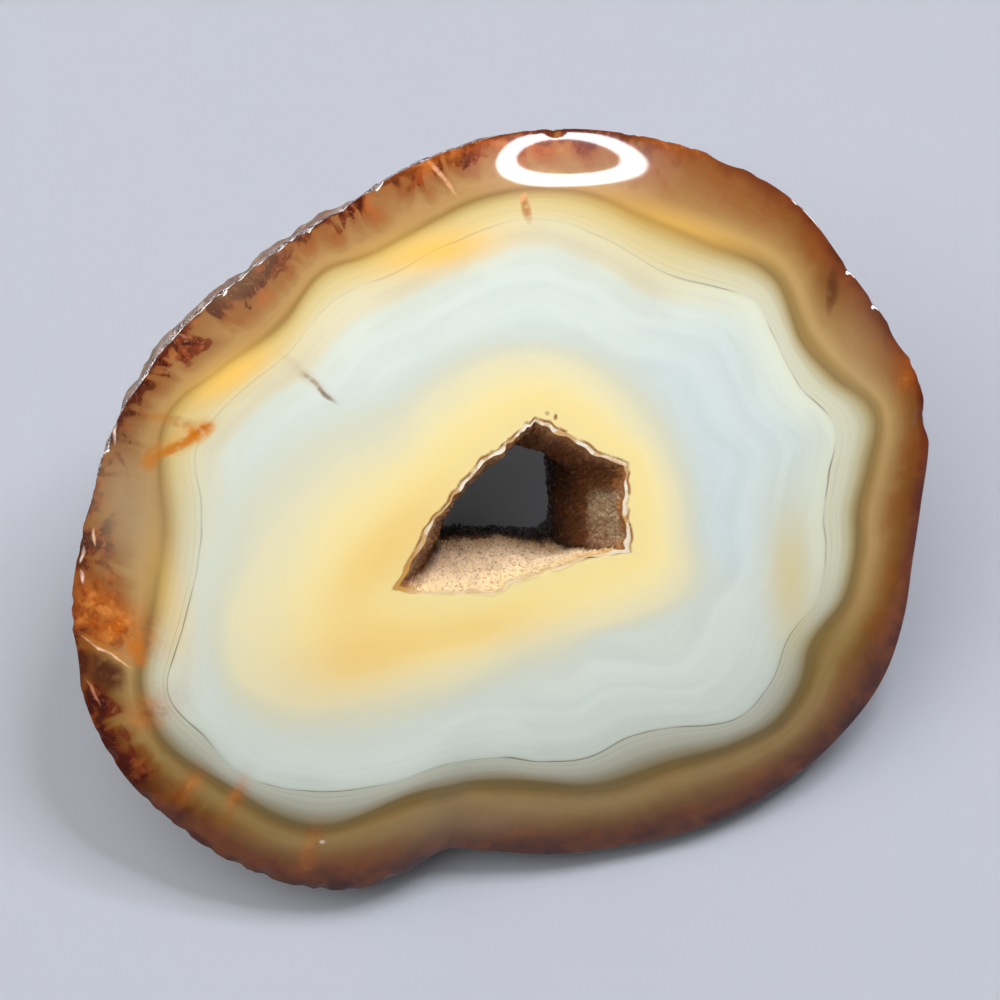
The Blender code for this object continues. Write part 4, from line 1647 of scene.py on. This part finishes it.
@dataclass
class CrystalCrust:
    """The druse on the cavity's wall: a thin closed tube with small flat-faced crystals."""

    pose: Pose
    form: NoduleForm = NoduleForm()
    cavity: CavityForm = CavityForm()
    name: str = "crystal_druse_lining"
    columns: int = 520
    inner_rows: int = 176
    outer_rows: int = 14
    gap: float = 0.03
    thickness: float = 0.36
    thickness_waves: tuple[Triple, ...] = (
        (5.0, 0.8, 0.26), (12.0, 2.9, 0.22), (23.0, 5.1, 0.16), (41.0, 1.2, 0.1),
    )
    ledge: Triple = (9.0, 13.9, 0.5)
    flank: Triple = (5.6, 9.1, 0.5)
    nook: Triple = (7.5, 9.3, 0.45)
    rear_w: float = -27.6
    rear_slope: float = 0.22
    packed_inset: float = 0.3
    packed_rows: int = 17
    crystal_size: float = 0.42
    crystal_spans: int = 3
    crystal_slopes: Pair = (0.75, 0.5)
    crystal_tops: Pair = (0.35, 0.85)
    crystal_floor: float = -0.1
    crystal_seed: int = 9
    crystal_seed_step: int = 7
    crystal_start: float = 1.1
    row_power: float = 1.6
    rim_width: float = 0.22
    outer_rim: float = 0.8

    def places(self) -> Array:
        """Find the columns, at even steps along the mouth's outline.

        Returns:
            A side's number plus the share of the way along it, for each column.
        """
        along = np.concatenate(((0.0,), np.cumsum(self.cavity.side_lengths())))
        even = np.arange(self.columns) / self.columns * along[-1]
        return np.interp(even, along, np.arange(len(along)))

    @staticmethod
    def stretch_of(place: Array, span: Triple) -> Array:
        """1 from a start to an end on the outline, easing to 0 at both over a fade."""
        start, end, fade = span
        return ease((place - start) / fade) * ease((end - place) / fade)

    def ends(self, place: Array, inset: Array) -> tuple[Array, Array]:
        """Heights of the crust's ends: flush with the dome in front, inside the rind behind.

        Args:
            place: Column's place on the outline.
            inset: How far the wall is moved inward.

        Returns:
            The height in front and the height behind, of each column.
        """
        mouth = self.cavity.mouth_line(place, inset)
        angle = np.arctan2(mouth[:, 1], mouth[:, 0])
        front = self.form.dome(np.linalg.norm(mouth, axis=-1) / self.form.edge.radius(angle))
        rear = self.cavity.outline(self.cavity.rear, inset, place)
        return front, self.rear_w - self.rear_slope * (rear[:, 1] - rear[:, 1].min())

    def tube(self, share: Array, inset: Array) -> Array:
        """One wall of the tube at shares of the way from the front to the back.

        Args:
            share: Shares, one for each row.
            inset: How far the wall is moved inward.

        Returns:
            The points, rows by columns.
        """
        place = self.places()
        front, back = self.ends(place, inset)
        w = between(front, back, share[:, None])
        return self.cavity.wall(np.broadcast_to(place, w.shape), w, inset)

    def packed_shift(self) -> Pair:
        """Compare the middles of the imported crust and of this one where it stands.

        Returns:
            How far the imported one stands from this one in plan, in millimetres.
        """
        own = self.tube(np.linspace(0.0, 1.0, self.packed_rows), self.packed_inset)
        own = self.pose.stand(own)
        low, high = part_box(CadNode.CRUST.value)
        middle = 0.5 * (own.min(axis=(0, 1)) + own.max(axis=(0, 1)))
        packed = 0.5 * (np.array(low) + np.array(high)) / MM
        return (float(packed[0] - middle[0]), float(packed[1] - middle[1]))

    def crystal_height(self, depth: Array) -> Array:
        """Height of the crystals: the highest of the nearby six-sided pyramids.

        Each cell of a lattice on the wall holds one pyramid, at a random place, with a random
        turn and height. A pyramid falls off with the largest of three distances across it.

        Args:
            depth: Distance of each inner point behind the rim.

        Returns:
            One height for each point.
        """
        cells_round = int(self.cavity.side_lengths().sum() / self.crystal_size)
        across = np.broadcast_to(np.arange(self.columns) / self.columns * cells_round, depth.shape)
        down = depth / self.crystal_size
        home = np.stack((np.floor(across), np.floor(down)), axis=-1)
        best = np.full(depth.shape, -1.0)
        for step in np.ndindex(3, 3):
            cell = home + np.array(step) - 1.0
            lattice = np.stack((np.mod(cell[..., 0], cells_round), cell[..., 1],
                                np.zeros(depth.shape)), axis=-1)
            chance = draws(lattice, self.crystal_seed)
            more = draws(lattice, self.crystal_seed + self.crystal_seed_step)
            gap_across = (across - cell[..., 0] - chance[..., 0]) * self.crystal_size
            gap_down = (down - cell[..., 1] - chance[..., 1]) * self.crystal_size
            top = self.crystal_size * between(
                self.crystal_tops[0], sum(self.crystal_tops), more[..., 0] ** 2)
            reach = np.zeros(depth.shape)
            for turn in range(self.crystal_spans):
                heading = (more[..., 1] + turn / self.crystal_spans) * math.pi
                reach = np.maximum(
                    reach, np.abs(gap_across * np.cos(heading) + gap_down * np.sin(heading)))
            slope = self.crystal_slopes[0] + self.crystal_slopes[1] * more[..., 2]
            best = np.maximum(best, top - slope * reach)
        return np.maximum(best, self.crystal_floor)

    def build(self) -> bpy.types.Object:
        """Make the crust, dress it and set it in place of its CAD node.

        Returns:
            The finished piece.
        """
        share = (np.arange(self.inner_rows) / (self.inner_rows - 1.0)) ** self.row_power
        place = self.places()
        waves = self.cavity.ripple(place, self.thickness_waves)
        inner = self.tube(share, self.gap + self.thickness * (1.0 + waves))
        outer = self.tube(np.linspace(1.0, 0.0, self.outer_rows), self.gap)
        steps = np.linalg.norm(np.diff(inner, axis=0), axis=-1)
        depth = np.concatenate((np.zeros((1, self.columns)), np.cumsum(steps, axis=0)))
        height = self.crystal_height(depth) * ease(depth / self.crystal_start)
        normal = grid_normals(np.concatenate((inner, outer)))[:self.inner_rows]
        normal[0] = 0.0
        inner = inner + normal * height[..., None]
        points = self.pose.stand(np.concatenate((inner, outer)))
        hidden = np.ones((self.outer_rows, self.columns))
        hidden[-1] = 0.0
        rim = np.concatenate((ease(1.0 - depth / self.rim_width), 0.0 * hidden))
        rim[-1] = self.outer_rim
        finish = DruseFinish("crystal_druse_finish", self.pose)
        fields = {"depth": np.concatenate((depth, finish.deepest * hidden)), "rim": rim}
        for name, span in (("ledge", self.ledge), ("flank", self.flank), ("nook", self.nook)):
            fields[name] = np.broadcast_to(self.stretch_of(place, span), rim.shape)
        piece = closed_surface(self.name, points * MM, fields, False)
        piece.data.materials.append(finish.mixed())
        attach(piece, "root")
        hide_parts(CadNode.CRUST.value)
        return piece


@dataclass(frozen=True)
class Lamp:
    """Round area light that faces the stone: its place and width in metres, and its watts."""

    place: Triple
    size: float
    energy: float

    def hang(self, name: str) -> bpy.types.Object:
        """Add the light to the scene.

        Args:
            name: Name of the light.

        Returns:
            The light's object.
        """
        data = bpy.data.lights.new(name, "AREA")
        data.shape = "DISK"
        data.size = self.size
        data.energy = self.energy
        item = linked(name, data)
        item.location = self.place
        item.rotation_mode = "QUATERNION"
        item.rotation_quaternion = Vector(self.place).to_track_quat("Z", "Y")
        return item


@dataclass
class Studio:
    """Pale floor, soft light, the ring lamp that the polish mirrors, and the camera."""

    pose: Pose
    floor_half: float = 6000.0
    floor_rows: int = 9
    ring_centre: Triple = (131.0, 68.0, 400.0)
    ring_outer: Pair = (91.0, 73.0)
    ring_inner: Pair = (64.0, 45.0)
    ring_strength: float = 30.0
    ring_halo: Pair = (150.0, 124.0)
    ring_haze: float = 0.07
    halo_glow: Colour = (0.075, 0.05, 0.06, 1.0)
    ring_paint: Paint = (246, 250, 255)
    ring_steps: int = 96
    world_strength: float = 0.155
    world_paint: Paint = (240, 243, 248)
    floor_paint: Paint = (180, 184, 192)
    floor_gloss: float = 0.7
    panel: Lamp = Lamp((-0.38, -0.02, 1.1), 1.3, 10.8)
    glints: tuple[Lamp, ...] = (
        Lamp((-0.90, 0.66, 0.36), 0.6, 28.0), Lamp((1.0, 0.42, 0.34), 0.22, 5.0),
    )
    aim: Pair = (-1.65, 1.65)
    elevation: float = math.radians(64.0)
    distance: float = 330.0
    lens: float = 108.0
    film_width: float = 36.0
    sight: float = 50.0

    def build(self) -> None:
        """Set the stage."""
        self.floor()
        self.ring()
        self.soft_light()
        self.world()
        self.camera()
        bpy.context.scene.view_settings.view_transform = "Standard"

    def sheet(self, name: str, points: Array) -> bpy.types.Object:
        """Make an open surface.

        Args:
            name: Name of the surface.
            points: Rows by columns of places in millimetres.

        Returns:
            The object.
        """
        index = grid_numbers(points)
        item = grid_object(
            name, points * MM, (index[:-1, :-1], index[:-1, 1:], index[1:, 1:], index[1:, :-1]))
        return item

    def floor(self) -> None:
        """Lay a wide level floor under the rest spot."""
        line = np.linspace(-self.floor_half, self.floor_half, self.floor_rows)
        along, across = np.meshgrid(line, line)
        item = self.sheet("floor", np.stack((along, across, np.zeros(along.shape)), axis=-1))
        recipe = Recipe("floor_finish")
        recipe.shader.inputs["Base Color"].default_value = pigment(*self.floor_paint)
        recipe.shader.inputs["Roughness"].default_value = self.floor_gloss
        item.data.materials.append(recipe.material)

    def ring(self) -> None:
        """Hang an oval ring lamp with a dim halo, which only reflections and shading see.

        It is a flat sheet of six ovals, each with its two half widths, a step outward that
        parts the lamp from its halo, and its share of the light.
        """
        angle = np.linspace(0.0, FULL_TURN, self.ring_steps + 1)
        ovals = (
            ((1.0, 1.0), 0.0, self.ring_haze), (self.ring_inner, -1.0, self.ring_haze),
            (self.ring_inner, 0.0, 1.0), (self.ring_outer, 0.0, 1.0),
            (self.ring_outer, 1.0, self.ring_haze), (self.ring_halo, 0.0, 0.0))
        rims = [np.stack((*((np.array(halves) + step)[:, None] * turned(angle).T), 0.0 * angle),
                         axis=-1) for halves, step, _ in ovals]
        centre = self.pose.centre() + np.array(self.ring_centre)
        item = self.sheet("ring_lamp", np.array(rims) + centre)
        beam = item.data.attributes.new("beam", "FLOAT", "POINT")
        beams = np.repeat([share for *_, share in ovals], len(angle))
        beam.data.foreach_set("value", beams.astype(np.float32))
        recipe = Recipe("ring_lamp_finish")
        recipe.shader.inputs["Base Color"].default_value = pigment(0, 0, 0)
        light = recipe.ramp(recipe.field("beam"), (
            (0.0, pigment(0, 0, 0)), (self.ring_haze, self.halo_glow),
            (1.0, pigment(*self.ring_paint))))
        recipe.plug(light, recipe.shader.inputs["Emission Color"])
        recipe.shader.inputs["Emission Strength"].default_value = self.ring_strength
        item.data.materials.append(recipe.material)
        item.visible_camera = False

    def soft_light(self) -> None:
        """Hang a soft panel above the stone, and small lamps behind it for the broken edge."""
        panel = self.panel.hang("soft_panel")
        panel.visible_glossy = False
        for number, glint in enumerate(self.glints):
            item = glint.hang(f"glint_lamp_{number}")
            item.visible_camera = False
            item.visible_diffuse = False

    def world(self) -> None:
        """Fill the surroundings with plain pale light."""
        world = bpy.data.worlds.new("pale_room")
        world.use_nodes = True
        background = next(n for n in world.node_tree.nodes if n.type == "BACKGROUND")
        background.inputs["Color"].default_value = pigment(*self.world_paint)
        background.inputs["Strength"].default_value = self.world_strength
        bpy.context.scene.world = world

    def camera(self) -> None:
        """Stand the camera in front of the stone, looking down on it."""
        right = np.array((1.0, 0.0, 0.0))
        back = np.array((0.0, -math.cos(self.elevation), math.sin(self.elevation)))
        up = np.cross(back, right)
        eye = self.pose.centre() + self.aim[0] * right + self.aim[1] * up + self.distance * back
        data = bpy.data.cameras.new("camera")
        data.lens = self.lens
        data.sensor_width = self.film_width
        data.clip_end = self.sight
        item = linked("camera", data)
        matrix = np.eye(4)
        matrix[:3, :3] = np.stack((right, up, back), axis=1)
        matrix[:3, 3] = eye * MM
        item.matrix_world = Matrix(matrix.tolist())
        bpy.context.scene.camera = item


def main() -> None:
    """Build the pieces and the studio, in order."""
    logging.basicConfig(level=logging.INFO, format="%(name)s: %(message)s")
    pose = Pose(shift=CrystalCrust(Pose()).packed_shift())
    log.info("face centre stands at %s mm", np.round(pose.centre(), 3))
    for maker in (PolishedStone(pose), CrystalCrust(pose)):
        piece = maker.build()
        log.info("%s: %d points, %d faces", piece.name, len(piece.data.vertices),
                 len(piece.data.polygons))
    Studio(pose).build()
    log.info("studio set")


if __name__ == "__main__":
    main()
